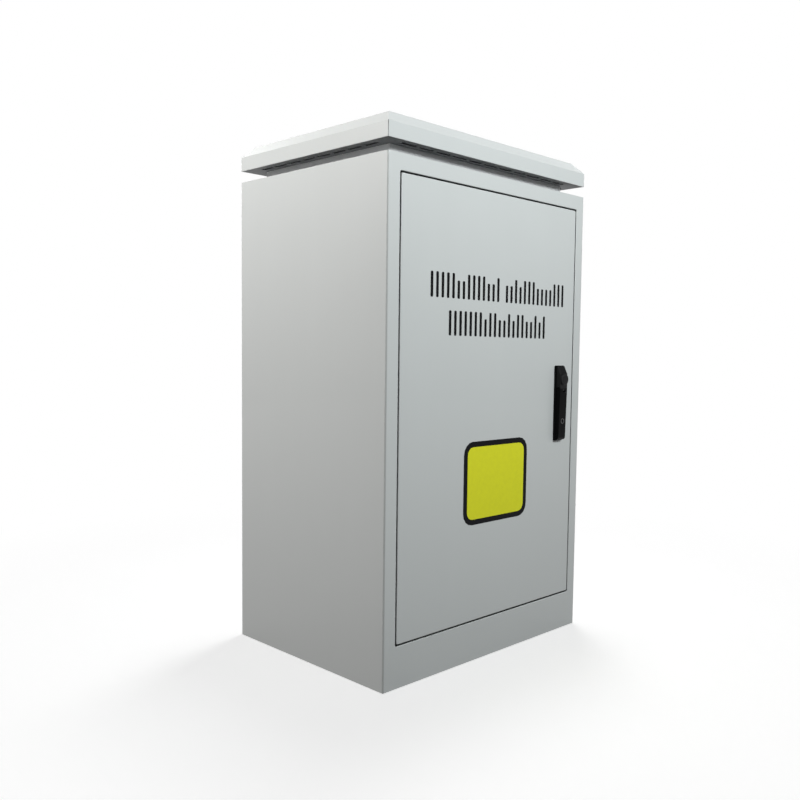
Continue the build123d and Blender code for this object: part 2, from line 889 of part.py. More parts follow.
def lock_head():
    """Turning head: faceted crown above, concave seat and ear for the lever below."""
    top = lock_top - head_edge_margin
    half = lever_width / 2
    points = [(lever_back, pin_z), (lever_back, top), (lever_back - head_edge_proud, top),
              (lever_top_face, top - head_facet_drop), (lever_top_face, pin_z)]
    head = profile_x(points, lock_x - half, lock_x + half)
    head -= rod_x(lock_x - lever_width, lock_x + lever_width, pin_y, pin_z, pin_back + seat_gap)
    head = head.solids().sort_by(SortBy.VOLUME)[-1]
    rims = [e for e in head.edges().filter_by(GeomType.LINE)
            if abs(e.center().X - lock_x) > half - seat_gap and e.center().Y < lever_back - head_round]
    head = fillet(rims, head_round)
    ear_half = ear_width / 2
    ear_radius = pin_back - ear_clear
    head += rod_x(lock_x - ear_half, lock_x + ear_half, pin_y, pin_z, ear_radius)
    head += block(lock_x - ear_half, lock_x + ear_half, pin_y - ear_neck / 2, pin_y + ear_radius,
                  pin_z, pin_z + pin_back + 2 * seat_gap + cut)
    head -= rod_x(lock_x - ear_width, lock_x + ear_width, pin_y, pin_z, lever_pin_radius)
    head -= rod_y(lock_x, lock_boss_z, lever_back - spindle_bite, lever_back + cut, spindle_radius)
    return head - rod_y(lock_x, lock_boss_z, lever_top_face - cap_radius, lever_top_face + cap_seat,
                        cap_radius - cap_seat_shoulder)


def lock_cap():
    """Round cap over the turning point, seated in the head."""
    cap = rod_y(lock_x, lock_boss_z, front - cap_proud, lever_top_face, cap_radius)
    cap = chamfer(cap.faces().sort_by(Axis.Y)[0].edges(), cap_bevel)
    return cap + rod_y(lock_x, lock_boss_z, lever_top_face, lever_top_face + cap_seat,
                       cap_radius - cap_seat_shoulder)


def lock_spindle():
    """Turned shaft with a square drive for the pinion and a tail for the clip."""
    shoulder = front + spindle_length_inside
    half = drive_square / 2
    shaft = rod_y(lock_x, lock_boss_z, lever_back - spindle_bite, shoulder, spindle_radius)
    shaft += block(lock_x - half, lock_x + half, shoulder, rod_rear, lock_boss_z - half,
                   lock_boss_z + half)
    return shaft + rod_y(lock_x, lock_boss_z, rod_rear, gearbox_back + tail_length, tail_radius)


def spindle_clip():
    """Open retaining ring on the spindle's tail."""
    low = gearbox_back + clip_gap
    high = low + clip_sheet
    clip = rod_y(lock_x, lock_boss_z, low, high, tail_radius + clip_width)
    clip -= rod_y(lock_x, lock_boss_z, low - cut, high + cut, tail_radius)
    half = clip_mouth / 2
    return clip - block(lock_x - half, lock_x + half, low - cut, high + cut,
                        lock_boss_z - 2 * (tail_radius + clip_width), lock_boss_z)


def involute_flank(base_radius, tip_radius, half_angle):
    """Points of one flank, from the base circle out, as (radius, angle)."""
    flank = []
    for i in range(flank_steps + 1):
        radius = base_radius + (tip_radius - base_radius) * i / flank_steps
        roll = acos(min(1.0, base_radius / radius))
        flank.append((radius, half_angle - (tan(roll) - roll)))
    return flank


def drive_pinion():
    """Pinion with involute flanks, a square bore and a hub on each side."""
    alpha = radians(pressure_angle)
    base_radius = pitch_radius * cos(alpha)
    root_radius = pitch_radius - tooth_dedendum
    half_base_angle = pi / (2 * pinion_teeth) + tan(alpha) - alpha
    flank = [(root_radius, half_base_angle)]
    flank += involute_flank(base_radius, pitch_radius + tooth_addendum, half_base_angle)
    points = []
    for tooth in range(pinion_teeth):
        centre = 2 * pi * tooth / pinion_teeth
        side = [(r, centre - a) for r, a in flank] + [(r, centre + a) for r, a in reversed(flank)]
        points += [(r * cos(a), r * sin(a)) for r, a in side]
    outline = make_face(Polyline(*points, close=True))
    pinion = extrude(Plane.XZ.offset(-rod_rear) * Pos(lock_x, lock_boss_z) * outline, rod_thickness)
    hub_radius = root_radius - pinion_hub_step
    hub_front = front + spindle_length_inside + pinion_hub_gap
    pinion += rod_y(lock_x, lock_boss_z, hub_front, rod_front, hub_radius)
    pinion += rod_y(lock_x, lock_boss_z, rod_rear, gearbox_inner - pinion_hub_gap, hub_radius)
    half = drive_square / 2
    pinion -= block(lock_x - half, lock_x + half, front, rod_rear, lock_boss_z - half,
                    lock_boss_z + half)
    return pinion - rod_y(lock_x, lock_boss_z, rod_rear - cut, gearbox_back, tail_radius)


def rack_rod(side, inner_end, tip):
    """Flat lock rod with rack teeth beside the pinion and a tapered tip."""
    pitch = pi * gear_module
    slope = tan(radians(pressure_angle))
    way = 1 if tip > inner_end else -1
    tooth_tip = pitch_radius - tooth_addendum
    outer = rod_near + rod_back
    half = pitch / 4 - tooth_play
    root = half + tooth_dedendum * slope
    crown = half - tooth_addendum * slope
    points = [(outer, inner_end), (rod_near, inner_end)]
    for tooth in range(-2, int(rod_travel / pitch) + 3):
        centre = lock_boss_z + way * (tooth + 0.5) * pitch
        points += [(rod_near, centre - way * root), (tooth_tip, centre - way * crown),
                   (tooth_tip, centre + way * crown), (rod_near, centre + way * root)]
    shoulder = tip - way * 2 * rod_tip_taper
    points += [(rod_near, shoulder), (rod_near + rod_tip_taper / 2, tip),
               (outer - rod_tip_taper / 2, tip), (outer, shoulder)]
    flat = [(lock_x + side * reach, rod_front, z) for reach, z in points]
    return extrude(make_face(Polyline(*flat, close=True)), rod_thickness, dir=(0, 1, 0))


def upper_rod():
    return rack_rod(1, lock_boss_z - rod_inner_overlap, open_top - lip_width - rod_tip_gap)


def lower_rod():
    return rack_rod(-1, lock_boss_z + rod_inner_overlap, open_bottom + lip_width + rod_tip_gap)


def rod_guide_places():
    high = door_top - door_return - guide_from_end
    low = door_bottom + door_return + guide_from_end
    middle = rod_near + rod_back / 2
    return [(lock_x + middle, high), (lock_x + middle, lock_boss_z + upper_guide_rise),
            (lock_x - middle, low), (lock_x - middle, lock_boss_z - lower_guide_drop)]


def rod_guides():
    """Plastic saddles on the door's inner face that the rods slide in."""
    guides = []
    half = rod_back / 2 + guide_slide
    outer = half + guide_wall
    for x, z in rod_guide_places():
        low = z - guide_height / 2
        high = z + guide_height / 2
        guide = block(x - outer, x + outer, door_inner, rod_rear + guide_slide + guide_wall, low, high)
        guide -= block(x - half, x + half, rod_front - guide_slide, rod_rear + guide_slide,
                       low - cut, high + cut)
        guide -= block(x - half, x + half, door_inner + guide_foot,
                       rod_front - guide_slide - guide_foot, low - cut, high + cut)
        guides.append(guide)
    return guides


def lock_gearbox():
    """Cover of the rod drive, open to the door and slotted for the rods."""
    inside = rod_near + rod_back + gearbox_side_room
    reach = inside + gearbox_wall
    low = lock_boss_z - gearbox_length / 2
    high = lock_boss_z + gearbox_length / 2
    box = panel_y(lock_x - reach, lock_x + reach, low, high, door_inner, gearbox_back, gearbox_corner)
    box = chamfer(box.faces().sort_by(Axis.Y)[-1].edges(), gearbox_bevel)
    box -= panel_y(lock_x - inside, lock_x + inside, low + gearbox_wall, high - gearbox_wall,
                   front, gearbox_inner, gearbox_inner_corner)
    near = rod_near - gearbox_rod_gap
    far = rod_near + rod_back + gearbox_rod_gap
    for side, z in ((1, high), (-1, low)):
        box -= block(lock_x + side * near, lock_x + side * far, rod_front - gearbox_rod_gap,
                     rod_rear + gearbox_rod_gap, z - 2 * gearbox_wall, z + 2 * gearbox_wall)
    return box - rod_y(lock_x, lock_boss_z, gearbox_inner - cut, gearbox_back + cut,
                       tail_radius + running_gap)


def lever_hollows():
    """Rooms in the lever's back: one for the cam, the others to save metal."""
    cam = (key_z - key_cam_room, key_z + key_cam_room)
    first = cam[1] + 2 * lever_wall
    room = (pin_z - pin_back - 2 * lever_wall - first) / 2
    return [cam, (first, first + room - lever_wall / 2), (first + room + lever_wall / 2, first + 2 * room)]


def lock_lever():
    """Lift-and-turn lever: tapered front, rounded end, fork at the pin, hollow back."""
    end = lock_bottom + lever_end_margin
    half = lever_width / 2
    foot = Polyline((lever_back, pin_z), (lever_back, end), (lever_end_face + lever_end_round, end))
    corner = RadiusArc(foot @ 1, (lever_end_face, end + lever_end_round), lever_end_round)
    face = Line(corner @ 1, (lever_top_face, pin_z))
    heel = ThreePointArc(face @ 1, (pin_y, pin_z + pin_back), foot @ 0)
    outline = Plane.YZ * make_face([*foot.edges(), *corner.edges(), *face.edges(), *heel.edges()])
    body = Pos(lock_x - half, 0, 0) * extrude(outline, lever_width, dir=(1, 0, 0))
    rims = [e for e in body.edges() if abs(abs(e.center().X - lock_x) - half) < seat_gap]
    body = fillet(rims, lever_round)
    fork = ear_width / 2 + lever_ring_gap
    body -= block(lock_x - fork, lock_x + fork, lever_top_face - cut, front,
                  pin_z - pin_back - seat_gap, pin_z + pin_back + cut)
    body -= rod_x(lock_x - lever_width, lock_x + lever_width, pin_y, pin_z,
                  lever_pin_radius + running_gap)
    body -= rod_y(lock_x, key_z, lever_top_face - cut, front, key_radius + running_gap)
    for low, high in lever_hollows():
        body -= block(lock_x - half + lever_wall, lock_x + half - lever_wall,
                      lever_back - lever_hollow_depth, lever_back + cut, low, high)
    return body


def lever_pin():
    half = lever_width / 2 - lever_pin_short
    return rod_x(lock_x - half, lock_x + half, pin_y, pin_z, lever_pin_radius)


def key_cylinder():
    """Lock cylinder in the lever, with a key slot in front and a cam behind."""
    face = lever_end_face - key_sink
    rear = lever_back - key_back_gap
    slot = key_slot_width / 2
    core = rod_y(lock_x, key_z, face, rear, key_radius)
    core -= block(lock_x - slot, lock_x + slot, face - cut, face + key_slot_depth,
                  key_z - key_slot_length / 2, key_z + key_slot_length / 2)
    cam = key_cam_width / 2
    return core + block(lock_x - cam, lock_x + cam, rear - key_cam_sheet, rear, key_z,
                        key_z + key_cam_length)


# Rear mounting plate

def stud_places():
    x = plate_width / 2 - stud_inset
    return [(side * x, z) for side in (-1, 1)
            for z in (plate_bottom + stud_end_distance, plate_top - stud_end_distance)]


def mounting_plate():
    """Rear plate with folded edges."""
    half = plate_width / 2
    plate = block(-half, half, plate_face, plate_rear, plate_bottom, plate_top)
    for side in (-1, 1):
        plate += block(side * (half - plate_sheet), side * half, plate_rear, plate_rear + plate_fold,
                       plate_bottom, plate_top)
    for x, z in stud_places():
        plate -= rod_y(x, z, plate_face - cut, plate_rear + cut, stud_radius + stud_gap)
    return plate


def plate_studs():
    """Welded studs on the rear wall, each with a spacer behind the plate and a nut before it."""
    nut_face = plate_face - stud_nut
    return [hex_y(x, z, plate_rear, back - sheet, stud_spacer_across)
            + rod_y(x, z, nut_face - stud_tail, plate_rear, stud_radius)
            + hex_y(x, z, nut_face, plate_face, stud_nut_across)
            for x, z in stud_places()]


# Rack posts and card frame

def post_hole_start():
    below = int((chassis_bottom - post_end_distance) / post_hole_pitch)
    return chassis_bottom + rack_hole_offset - below * post_hole_pitch


def post_hole_count():
    return int((body_height - post_end_distance - post_hole_start()) / post_hole_pitch)


def rack_posts():
    """Two angle posts from floor to deck, with a row of square holes each."""
    posts = []
    half = post_hole / 2
    post_back = post_y + post_return
    for side in (-1, 1):
        inner = side * post_inner
        outer = side * post_outer
        post = block(inner, outer, post_y, post_y + sheet, sheet, deck_under)
        post += block(outer - side * sheet, outer, post_y, post_back, sheet, deck_under)
        post += block(inner, outer, post_y, post_back, sheet, 2 * sheet)
        post += block(inner, outer, post_y, post_back, deck_under - sheet, deck_under)
        for i in range(post_hole_count()):
            x = side * rack_hole_x
            z = post_hole_start() + i * post_hole_pitch
            post -= block(x - half, x + half, post_y - cut, post_y + sheet + cut, z - half, z + half)
        posts.append(post)
    return posts


def rack_screw_places():
    rows = (rack_hole_offset, rack_hole_offset + rack_hole_steps * post_hole_pitch)
    return [(side * rack_hole_x, chassis_bottom + z) for side in (-1, 1) for z in rows]


def controller_chassis():
    """Card frame with rack ears, open in front, slotted above and below."""
    wall = chassis_sheet
    half = chassis_width / 2
    frame = block(-half, half, post_y, post_y + chassis_depth, chassis_bottom, chassis_top)
    frame -= block(-half + wall, half - wall, post_y - cut, post_y + chassis_depth - wall,
                   chassis_bottom + wall, chassis_top - wall)
    for side in (-1, 1):
        frame += block(side * (half - wall), side * rack_ear_width / 2, post_y - ear_sheet, post_y,
                       chassis_bottom, chassis_top)
    for x, z in rack_screw_places():
        frame -= rod_y(x, z, post_y - ear_sheet - cut, post_y + cut,
                       rack_screw_radius + rack_screw_gap)
    for x in spread(chassis_vent_columns, chassis_vent_pitch):
        for row in range(2):
            y = post_y + chassis_vent_front + row * chassis_vent_row
            vent = Pos(x, y, chassis_bottom - cut) * Rectangle(chassis_vent_width, chassis_vent_length)
            frame -= extrude(vent, chassis_height + 2 * cut)
    return frame


def rack_screws():
    ear_face = post_y - ear_sheet
    return [hex_y(x, z, ear_face - rack_screw_head, ear_face, rack_screw_across)
            + rod_y(x, z, ear_face, ear_face + rack_screw_length, rack_screw_radius)
            for x, z in rack_screw_places()]


def module_row():
    """Kinds and edges of the plug-in units, from left to right."""
    places = []
    x = -chassis_width / 2 + chassis_sheet + module_end_gap
    step = (chassis_width - 2 * (chassis_sheet + module_end_gap)) / guide_steps
    for kind in module_order:
        width = module_steps[kind] * step
        places.append((kind, x, x + width))
        x += width
    return places


def plug_in(kind_wanted):
    """Plug-in units of one kind: front panel, board, handle and what it carries."""
    carried = {"power": fuse_caps, "logic": key_pad}
    units = []
    for kind, x0, x1 in module_row():
        if kind == kind_wanted:
            x = (x0 + x1) / 2
            board = board_sheet / 2
            unit = block(x0 + module_side_gap, x1 - module_side_gap, post_y, post_y + panel_sheet,
                         module_bottom, module_top)
            unit += block(x - board, x + board, post_y + panel_sheet,
                          post_y + chassis_depth - board_short, module_bottom + board_margin,
                          module_top - board_margin)
            unit += module_grip(x)
            units.append(carried[kind](unit, x) if kind in carried else unit)
    return units


def module_grip(x):
    """Handle on a unit's panel, with a finger opening from side to side."""
    low = module_bottom + grip_bottom
    high = low + grip_length
    bar = post_y - grip_proud
    outline = [(post_y, low), (post_y, high), (bar, high - grip_slope), (bar, low + grip_slope)]
    grip = profile_x(outline, x - grip_width / 2, x + grip_width / 2)
    return grip - block(x - grip_width, x + grip_width, bar + grip_bar, post_y,
                        low + grip_leg, high - grip_leg)


def fuse_caps(unit, x):
    """Two round fuse caps on the power unit."""
    for i in range(2):
        z = module_top - fuse_cap_drop - i * fuse_cap_pitch
        unit += rod_y(x, z, post_y - fuse_cap_proud, post_y, fuse_cap_radius)
    return unit


def key_pad(unit, x):
    """Recess of the display and a square of keys on the logic unit."""
    top = module_top - display_drop
    unit -= block(x - display_width / 2, x + display_width / 2, post_y - cut, post_y + display_sink,
                  top - display_height, top)
    for row in range(key_pad_count):
        z = module_top - key_pad_drop - row * key_pad_pitch_z
        for column in spread(key_pad_count, key_pad_pitch_x):
            unit += block(x + column - key_pad_width / 2, x + column + key_pad_width / 2,
                          post_y - key_pad_proud, post_y, z - key_pad_height / 2,
                          z + key_pad_height / 2)
    return unit


# Rail-mounted gear

def din_rails():
    """Top-hat rails on the mounting plate."""
    half = rail_width / 2
    inner = half - rail_brim
    wall = rail_sheet
    brim = plate_face - rail_depth
    rails = []
    for z in (upper_rail_z, lower_rail_z):
        rail = block(-rail_length / 2, rail_length / 2, brim, plate_face, z - inner, z + inner)
        rail += block(-rail_length / 2, rail_length / 2, brim, brim + wall, z - half, z + half)
        rails.append(rail - block(-rail_length / 2 - cut, rail_length / 2 + cut, brim - cut,
                                  plate_face - wall, z - inner + wall, z + inner - wall))
    return rails


def rail_device(x0, width):
    """Stepped body of a rail device, seated on the front of the upper rail."""
    seat = plate_face - rail_depth
    shoulder = seat - device_shoulder
    high = device_height / 2
    nose = device_nose / 2
    points = [(seat, upper_rail_z - high), (seat, upper_rail_z + high),
              (shoulder, upper_rail_z + high), (shoulder, upper_rail_z + nose),
              (device_face, upper_rail_z + nose), (device_face, upper_rail_z - nose),
              (shoulder, upper_rail_z - nose), (shoulder, upper_rail_z - high)]
    return profile_x(points, x0 + device_side_gap, x0 + width - device_side_gap)


def breaker_places():
    return [breaker_start + i * breaker_width for i in range(breaker_count)]


def breaker_bodies():
    """Breaker housings, each with a round well and a cross pin for its toggle."""
    bodies = []
    for x0 in breaker_places():
        x1 = x0 + breaker_width
        body = rail_device(x0, breaker_width)
        body -= rod_x(x0 + breaker_wall, x1 - breaker_wall, toggle_y, upper_rail_z,
                      toggle_drum_radius + toggle_drum_gap)
        bodies.append(body + rod_x(x0 + breaker_wall, x1 - breaker_wall, toggle_y, upper_rail_z,
                                   toggle_pin_radius))
    return bodies


def breaker_toggle(index):
    """Toggle on the breaker's cross pin, with its lever pointing down when off."""
    inset = breaker_wall + toggle_side_gap
    x0 = breaker_places()[index] + inset
    x1 = x0 + breaker_width - 2 * inset
    root = toggle_root_height / 2
    tip = toggle_tip_height / 2
    stem = profile_x([(-toggle_root, root), (-toggle_root, -root), (-toggle_reach, -tip),
                      (-toggle_reach, tip)], x0, x1)
    stem = Pos(0, toggle_y, upper_rail_z) * Rot(-toggle_tilt, 0, 0) * stem
    toggle = rod_x(x0, x1, toggle_y, upper_rail_z, toggle_drum_radius) + stem
    return toggle - rod_x(x0 - cut, x1 + cut, toggle_y, upper_rail_z, toggle_pin_radius + running_gap)


def surge_arrester():
    body = rail_device(surge_start, surge_width)
    x = surge_start + surge_width / 2
    half = device_nose / 2
    return body - block(x - surge_groove / 2, x + surge_groove / 2, device_face - cut,
                        device_face + surge_groove_depth, upper_rail_z - half, upper_rail_z + half)


def service_socket():
    """Rail-mounted outlet with a round well for the plug."""
    x = socket_start + socket_width / 2
    body = rail_device(socket_start, socket_width)
    return body - rod_y(x, upper_rail_z, device_face - cut, device_face + socket_well_depth,
                        socket_well_radius)


def thermostat_body():
    body = rail_device(thermostat_start, thermostat_width)
    return body - rod_y(thermostat_x, upper_rail_z, device_face - cut,
                        device_face + thermostat_bore_depth, knob_shaft_radius + running_gap)


def thermostat_knob():
    """Twelve-sided setting knob with a pointer slot, on a short shaft."""
    rear = device_face - seat_gap
    face = rear - knob_height
    outline = RegularPolygon(knob_radius, knob_sides)
    knob = extrude(Plane.XZ.offset(-rear) * Pos(thermostat_x, upper_rail_z) * outline, knob_height)
    half = knob_slot_width / 2
    knob -= block(thermostat_x - half, thermostat_x + half, face - cut, face + knob_slot_depth,
                  upper_rail_z, upper_rail_z + knob_slot_length)
    return knob + rod_y(thermostat_x, upper_rail_z, rear, rear + knob_shaft_length, knob_shaft_radius)


def terminal_blocks():
    """Feed-through terminals in a row on the lower rail, as separate solids."""
    seat = plate_face - rail_depth
    nose = seat - terminal_depth
    shoulder = seat - terminal_shoulder
    half = terminal_height / 2
    top = terminal_top_height / 2
    entry = terminal_entry / 2
    z = lower_rail_z
    points = [(seat, z - half), (seat, z + half), (shoulder, z + half), (nose, z + top),
              (nose, z - top), (shoulder, z - half)]
    blocks = []
    for x in spread(terminal_count, terminal_width):
        x0 = x - terminal_width / 2
        x1 = x + terminal_width / 2
        body = profile_x(points, x0 + device_side_gap, x1 - device_side_gap)
        for side in (-1, 1):
            middle = z + side * terminal_entry_offset
            body -= block(x0 + terminal_wall, x1 - terminal_wall, nose - cut,
                          nose + terminal_entry_depth, middle - entry, middle + entry)
        blocks.append(body)
    return blocks


# Wiring ducts

def duct_places():
    return [(upper_rail_z + lower_rail_z) / 2, upper_rail_z + upper_duct_rise,
            lower_rail_z - lower_duct_drop]


def cable_ducts():
    """Slotted wiring ducts between the rails."""
    half = rail_length / 2
    wall = duct_width / 2 - duct_wall
    count = int(rail_length // duct_slot_pitch)
    ducts = []
    for z in duct_places():
        duct = block(-half, half, duct_front, plate_face, z - duct_width / 2, z + duct_width / 2)
        duct -= block(-half - cut, half + cut, duct_front - cut, plate_face - duct_wall,
                      z - wall, z + wall)
        for x in spread(count, duct_slot_pitch):
            duct -= block(x - duct_slot / 2, x + duct_slot / 2, duct_front - cut,
                          plate_face - duct_slot_root, z - duct_width, z + duct_width)
        ducts.append(duct)
    return ducts


def duct_covers():
    """Snap-on covers whose lips hold the ducts' fingers from outside."""
    half = rail_length / 2
    inner = duct_width / 2
    outer = inner + duct_wall
    covers = []
    for z in duct_places():
        cover = block(-half, half, duct_front - duct_wall, duct_front + duct_cover_lip,
                      z - outer, z + outer)
        covers.append(cover - block(-half - cut, half + cut, duct_front,
                                    duct_front + duct_cover_lip + cut, z - inner, z + inner))
    return covers


# Earth bar

def earth_bar():
    half = earth_bar_length / 2
    return block(-half, half, earth_bar_y - earth_bar_sheet, earth_bar_y,
                 earth_bar_z - earth_bar_height / 2, earth_bar_z + earth_bar_height / 2)


def earth_bar_insulators():
    x = earth_bar_length / 2 - insulator_inset
    return [rod_y(side * x, earth_bar_z, earth_bar_y, back - sheet, insulator_radius)
            for side in (-1, 1)]


# Fan and lamp under the deck

def fan_frame():
    """Square frame with a round duct and a spider that holds the shaft."""
    side = fan_size + 2 * cut
    opened = fan_size - 2 * fan_pillar
    arm_low = deck_under - fan_flange
    middle = fan_depth - 2 * fan_flange
    frame = extrude(Pos(0, fan_y, fan_bottom) * RectangleRounded(fan_size, fan_size, fan_corner),
                    fan_depth)
    frame -= rod_z(0, fan_y, fan_bottom - cut, deck_under + cut, fan_bore_radius)
    sides = Rectangle(side, opened) + Rectangle(opened, side) - Circle(fan_bore_radius + fan_wall)
    frame -= extrude(Pos(0, fan_y, fan_bottom + fan_flange) * sides, middle)
    for turn in range(4):
        arm = block(fan_hub_core_radius, fan_bore_radius + fan_wall / 2, -fan_arm_width / 2,
                    fan_arm_width / 2, arm_low, deck_under)
        frame += Pos(0, fan_y, 0) * Rot(0, 0, fan_arm_turn + 90 * turn) * arm
    frame += rod_z(0, fan_y, arm_low, deck_under, fan_hub_radius)
    frame += rod_z(0, fan_y, fan_bottom + fan_hub_from_end, arm_low, fan_shaft_radius)
    for x, y in fan_screw_places():
        frame -= rod_z(x, y, fan_bottom - cut, deck_under + cut, fan_screw_radius)
    return frame


def fan_rotor():
    """Hub with pitched blades that clear the duct by the tip gap."""
    low = fan_bottom + fan_hub_from_end
    high = deck_under - fan_hub_from_end
    floor = low + fan_hub_floor
    reach = fan_bore_radius - fan_tip_gap
    root = fan_hub_radius - fan_hub_wall / 2
    rotor = rod_z(0, fan_y, low, high, fan_hub_radius)
    rotor -= rod_z(0, fan_y, floor, high + cut, fan_hub_radius - fan_hub_wall)
    rotor += rod_z(0, fan_y, low, high, fan_hub_core_radius)
    blade = Pos((root + reach) / 2, 0, (low + high) / 2) * Rot(-fan_blade_pitch, 0, 0) * Box(
        reach - root + fan_hub_wall, fan_blade_chord, fan_blade_sheet)
    blade = (blade & rod_z(0, 0, fan_bottom, deck_under, reach)) - rod_z(
        0, 0, fan_bottom, deck_under, root)
    for i in range(fan_blades):
        rotor += Pos(0, fan_y, 0) * Rot(0, 0, 360 * i / fan_blades) * blade
    return rotor - rod_z(0, fan_y, fan_bottom, deck_under, fan_shaft_radius + running_gap)


def fan_guard():
    """Finger guard below the fan: rings held by two crossed bars, with screw ears."""
    low = fan_bottom - guard_sheet
    guard = rod_z(0, fan_y, low, fan_bottom, fan_bore_radius + guard_rim)
    for i in range(guard_rings):
        middle = guard_first_radius + i * guard_pitch
        ring = Circle(middle + guard_gap / 2) - Circle(middle - guard_gap / 2)
        guard -= Pos(0, fan_y, low - cut) * extrude(ring, guard_sheet + 2 * cut)
    bar = Box(fan_screw_pitch * sqrt(2), guard_spoke, guard_sheet)
    for angle in (45, 135):
        guard += Pos(0, fan_y, low + guard_sheet / 2) * Rot(0, 0, angle) * bar
    for x, y in fan_screw_places():
        guard += rod_z(x, y, low, fan_bottom, guard_ear_radius)
        guard -= rod_z(x, y, low - cut, fan_bottom + cut, fan_screw_radius)
    return guard


def fan_screws():
    """Through screws that clamp the guard and the fan to the deck."""
    low = fan_bottom - guard_sheet
    return [rod_z(x, y, low, body_height, fan_screw_radius - fan_screw_gap)
            + hex_z(x, y, low - fan_screw_head, low, fan_screw_across)
            + hex_z(x, y, body_height, body_height + fan_screw_head, fan_screw_across)
            for x, y in fan_screw_places()]


def lamp_window(low, high):
    """The space that the lens fills in the lamp's housing."""
    half = lamp_lens_width / 2
    return block(-lamp_length / 2 + lamp_lens_inset, lamp_length / 2 - lamp_switch_length,
                 lamp_y - half, lamp_y + half, low, high)


def work_lamp():
    """Lamp housing under the deck, behind the door frame."""
    low = deck_under - lamp_height
    half = lamp_width / 2
    housing = block(-lamp_length / 2, lamp_length / 2, lamp_y - half, lamp_y + half, low, deck_under)
    housing = chamfer(housing.edges().filter_by(Axis.X).group_by(Axis.Z)[0],
                      min(lamp_bevel, (lamp_width - lamp_lens_width) / 3))
    return housing - lamp_window(low - cut, low + lamp_lens_depth)


def lamp_lens():
    low = deck_under - lamp_height
    return lamp_window(low, low + lamp_lens_depth)


def write(name, shape):
    """Writes one node: a solid, or a group of like solids."""
    solids = shape if isinstance(shape, list) else [shape]
    flat = [s for item in solids for s in item.solids()]
    whole = flat[0] if len(flat) == 1 else Compound(children=flat)
    export_step(whole, "parts/" + name + ".step")


nodes = {
    "cabinet_shell": cabinet_shell,
    "gland_plate": gland_plate,
    "cable_glands": cable_glands,
    "gland_plate_screws": gland_plate_screws,
    "canopy_neck": canopy_neck,
    "canopy_hood": canopy_hood,
    "canopy_base": canopy_base,
    "canopy_bolts": canopy_bolts,
    "hinge_frame_leaves": hinge_frame_leaves,
    "hinge_pins": hinge_pins,
    "hinge_door_leaves": hinge_door_leaves,
    "door_panel": door_panel,
    "door_gasket": door_gasket,
    "door_stiffeners": door_stiffeners,
    "document_pocket": document_pocket,
    "lock_base": lock_base_plate,
    "lock_gasket": lock_gasket_pad,
    "lock_clamp_nut": lock_clamp_nut,
    "lock_screws": lock_screws,
    "lock_head": lock_head,
    "lock_cap": lock_cap,
    "lock_spindle": lock_spindle,
    "spindle_clip": spindle_clip,
    "drive_pinion": drive_pinion,
    "lock_gearbox": lock_gearbox,
    "upper_rod": upper_rod,
    "lower_rod": lower_rod,
    "rod_guides": rod_guides,
    "lock_lever": lock_lever,
    "lever_pin": lever_pin,
    "key_cylinder": key_cylinder,
    "mounting_plate": mounting_plate,
    "plate_studs": plate_studs,
    "rack_posts": rack_posts,
    "controller_chassis": controller_chassis,
    "rack_screws": rack_screws,
    "din_rails": din_rails,
    "breaker_bodies": breaker_bodies,
    "surge_arrester": surge_arrester,
    "service_socket": service_socket,
    "thermostat_body": thermostat_body,
    "thermostat_knob": thermostat_knob,
    "terminal_blocks": terminal_blocks,
    "cable_ducts": cable_ducts,
    "duct_covers": duct_covers,
    "earth_bar": earth_bar,
    "earth_bar_insulators": earth_bar_insulators,
    "fan_frame": fan_frame,
    "fan_rotor": fan_rotor,
    "fan_guard": fan_guard,
    "fan_screws": fan_screws,
    "work_lamp": work_lamp,
    "lamp_lens": lamp_lens,
}

os.makedirs("parts", exist_ok=True)
for name, build in nodes.items():
    write(name, build())
for kind in module_steps:
    write(kind + "_modules", plug_in(kind))
for index in range(breaker_count):
    write("breaker_toggle_" + str(index + 1), breaker_toggle(index))
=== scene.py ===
# %% [markdown]
# A street cabinet for a traffic signal controller: a folded steel box with one flush door, a black
# swing handle and a raised rain canopy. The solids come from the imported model, which this script
# never moves or resizes. What is added here is finish: paint, plating, plastic, and the small things
# that a maker would print, stick or press on.

# %% Load the frame
import math

import bmesh
import bpy
from mathutils import Matrix, Vector


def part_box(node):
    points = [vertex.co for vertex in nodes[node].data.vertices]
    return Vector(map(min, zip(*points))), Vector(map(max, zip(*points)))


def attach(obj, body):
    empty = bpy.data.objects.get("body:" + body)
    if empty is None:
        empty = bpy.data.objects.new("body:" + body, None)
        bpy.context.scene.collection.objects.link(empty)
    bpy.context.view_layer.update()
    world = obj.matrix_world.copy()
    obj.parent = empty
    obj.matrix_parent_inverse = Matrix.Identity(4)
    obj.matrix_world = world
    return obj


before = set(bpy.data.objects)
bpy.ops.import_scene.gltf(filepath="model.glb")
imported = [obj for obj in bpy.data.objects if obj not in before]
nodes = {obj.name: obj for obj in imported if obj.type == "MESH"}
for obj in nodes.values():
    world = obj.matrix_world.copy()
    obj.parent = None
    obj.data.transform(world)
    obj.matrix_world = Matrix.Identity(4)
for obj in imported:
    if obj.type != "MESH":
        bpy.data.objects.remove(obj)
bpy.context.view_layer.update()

scene = bpy.context.scene

# %% [markdown]
# The camera stands where the photographer stood, off to the left of the cabinet and at about the
# height of its handle. A tall cabinet close to the lens shows strong perspective, so the lens is a
# short one, and the small shift keeps the uprights where they fell on the sensor.

# %% Camera
MM = 0.001
SENSOR = 36.0
LENS = 38.30
SHIFT_X = -0.0435
SHIFT_Y = 0.0137
CAMERA_AT = Vector((-1327.9, -1344.2, 623.1)) * MM
CAMERA_TURN = math.radians(-45.989)
CAMERA_TILT = math.radians(3.926)
CAMERA_ROLL = math.radians(0.815)


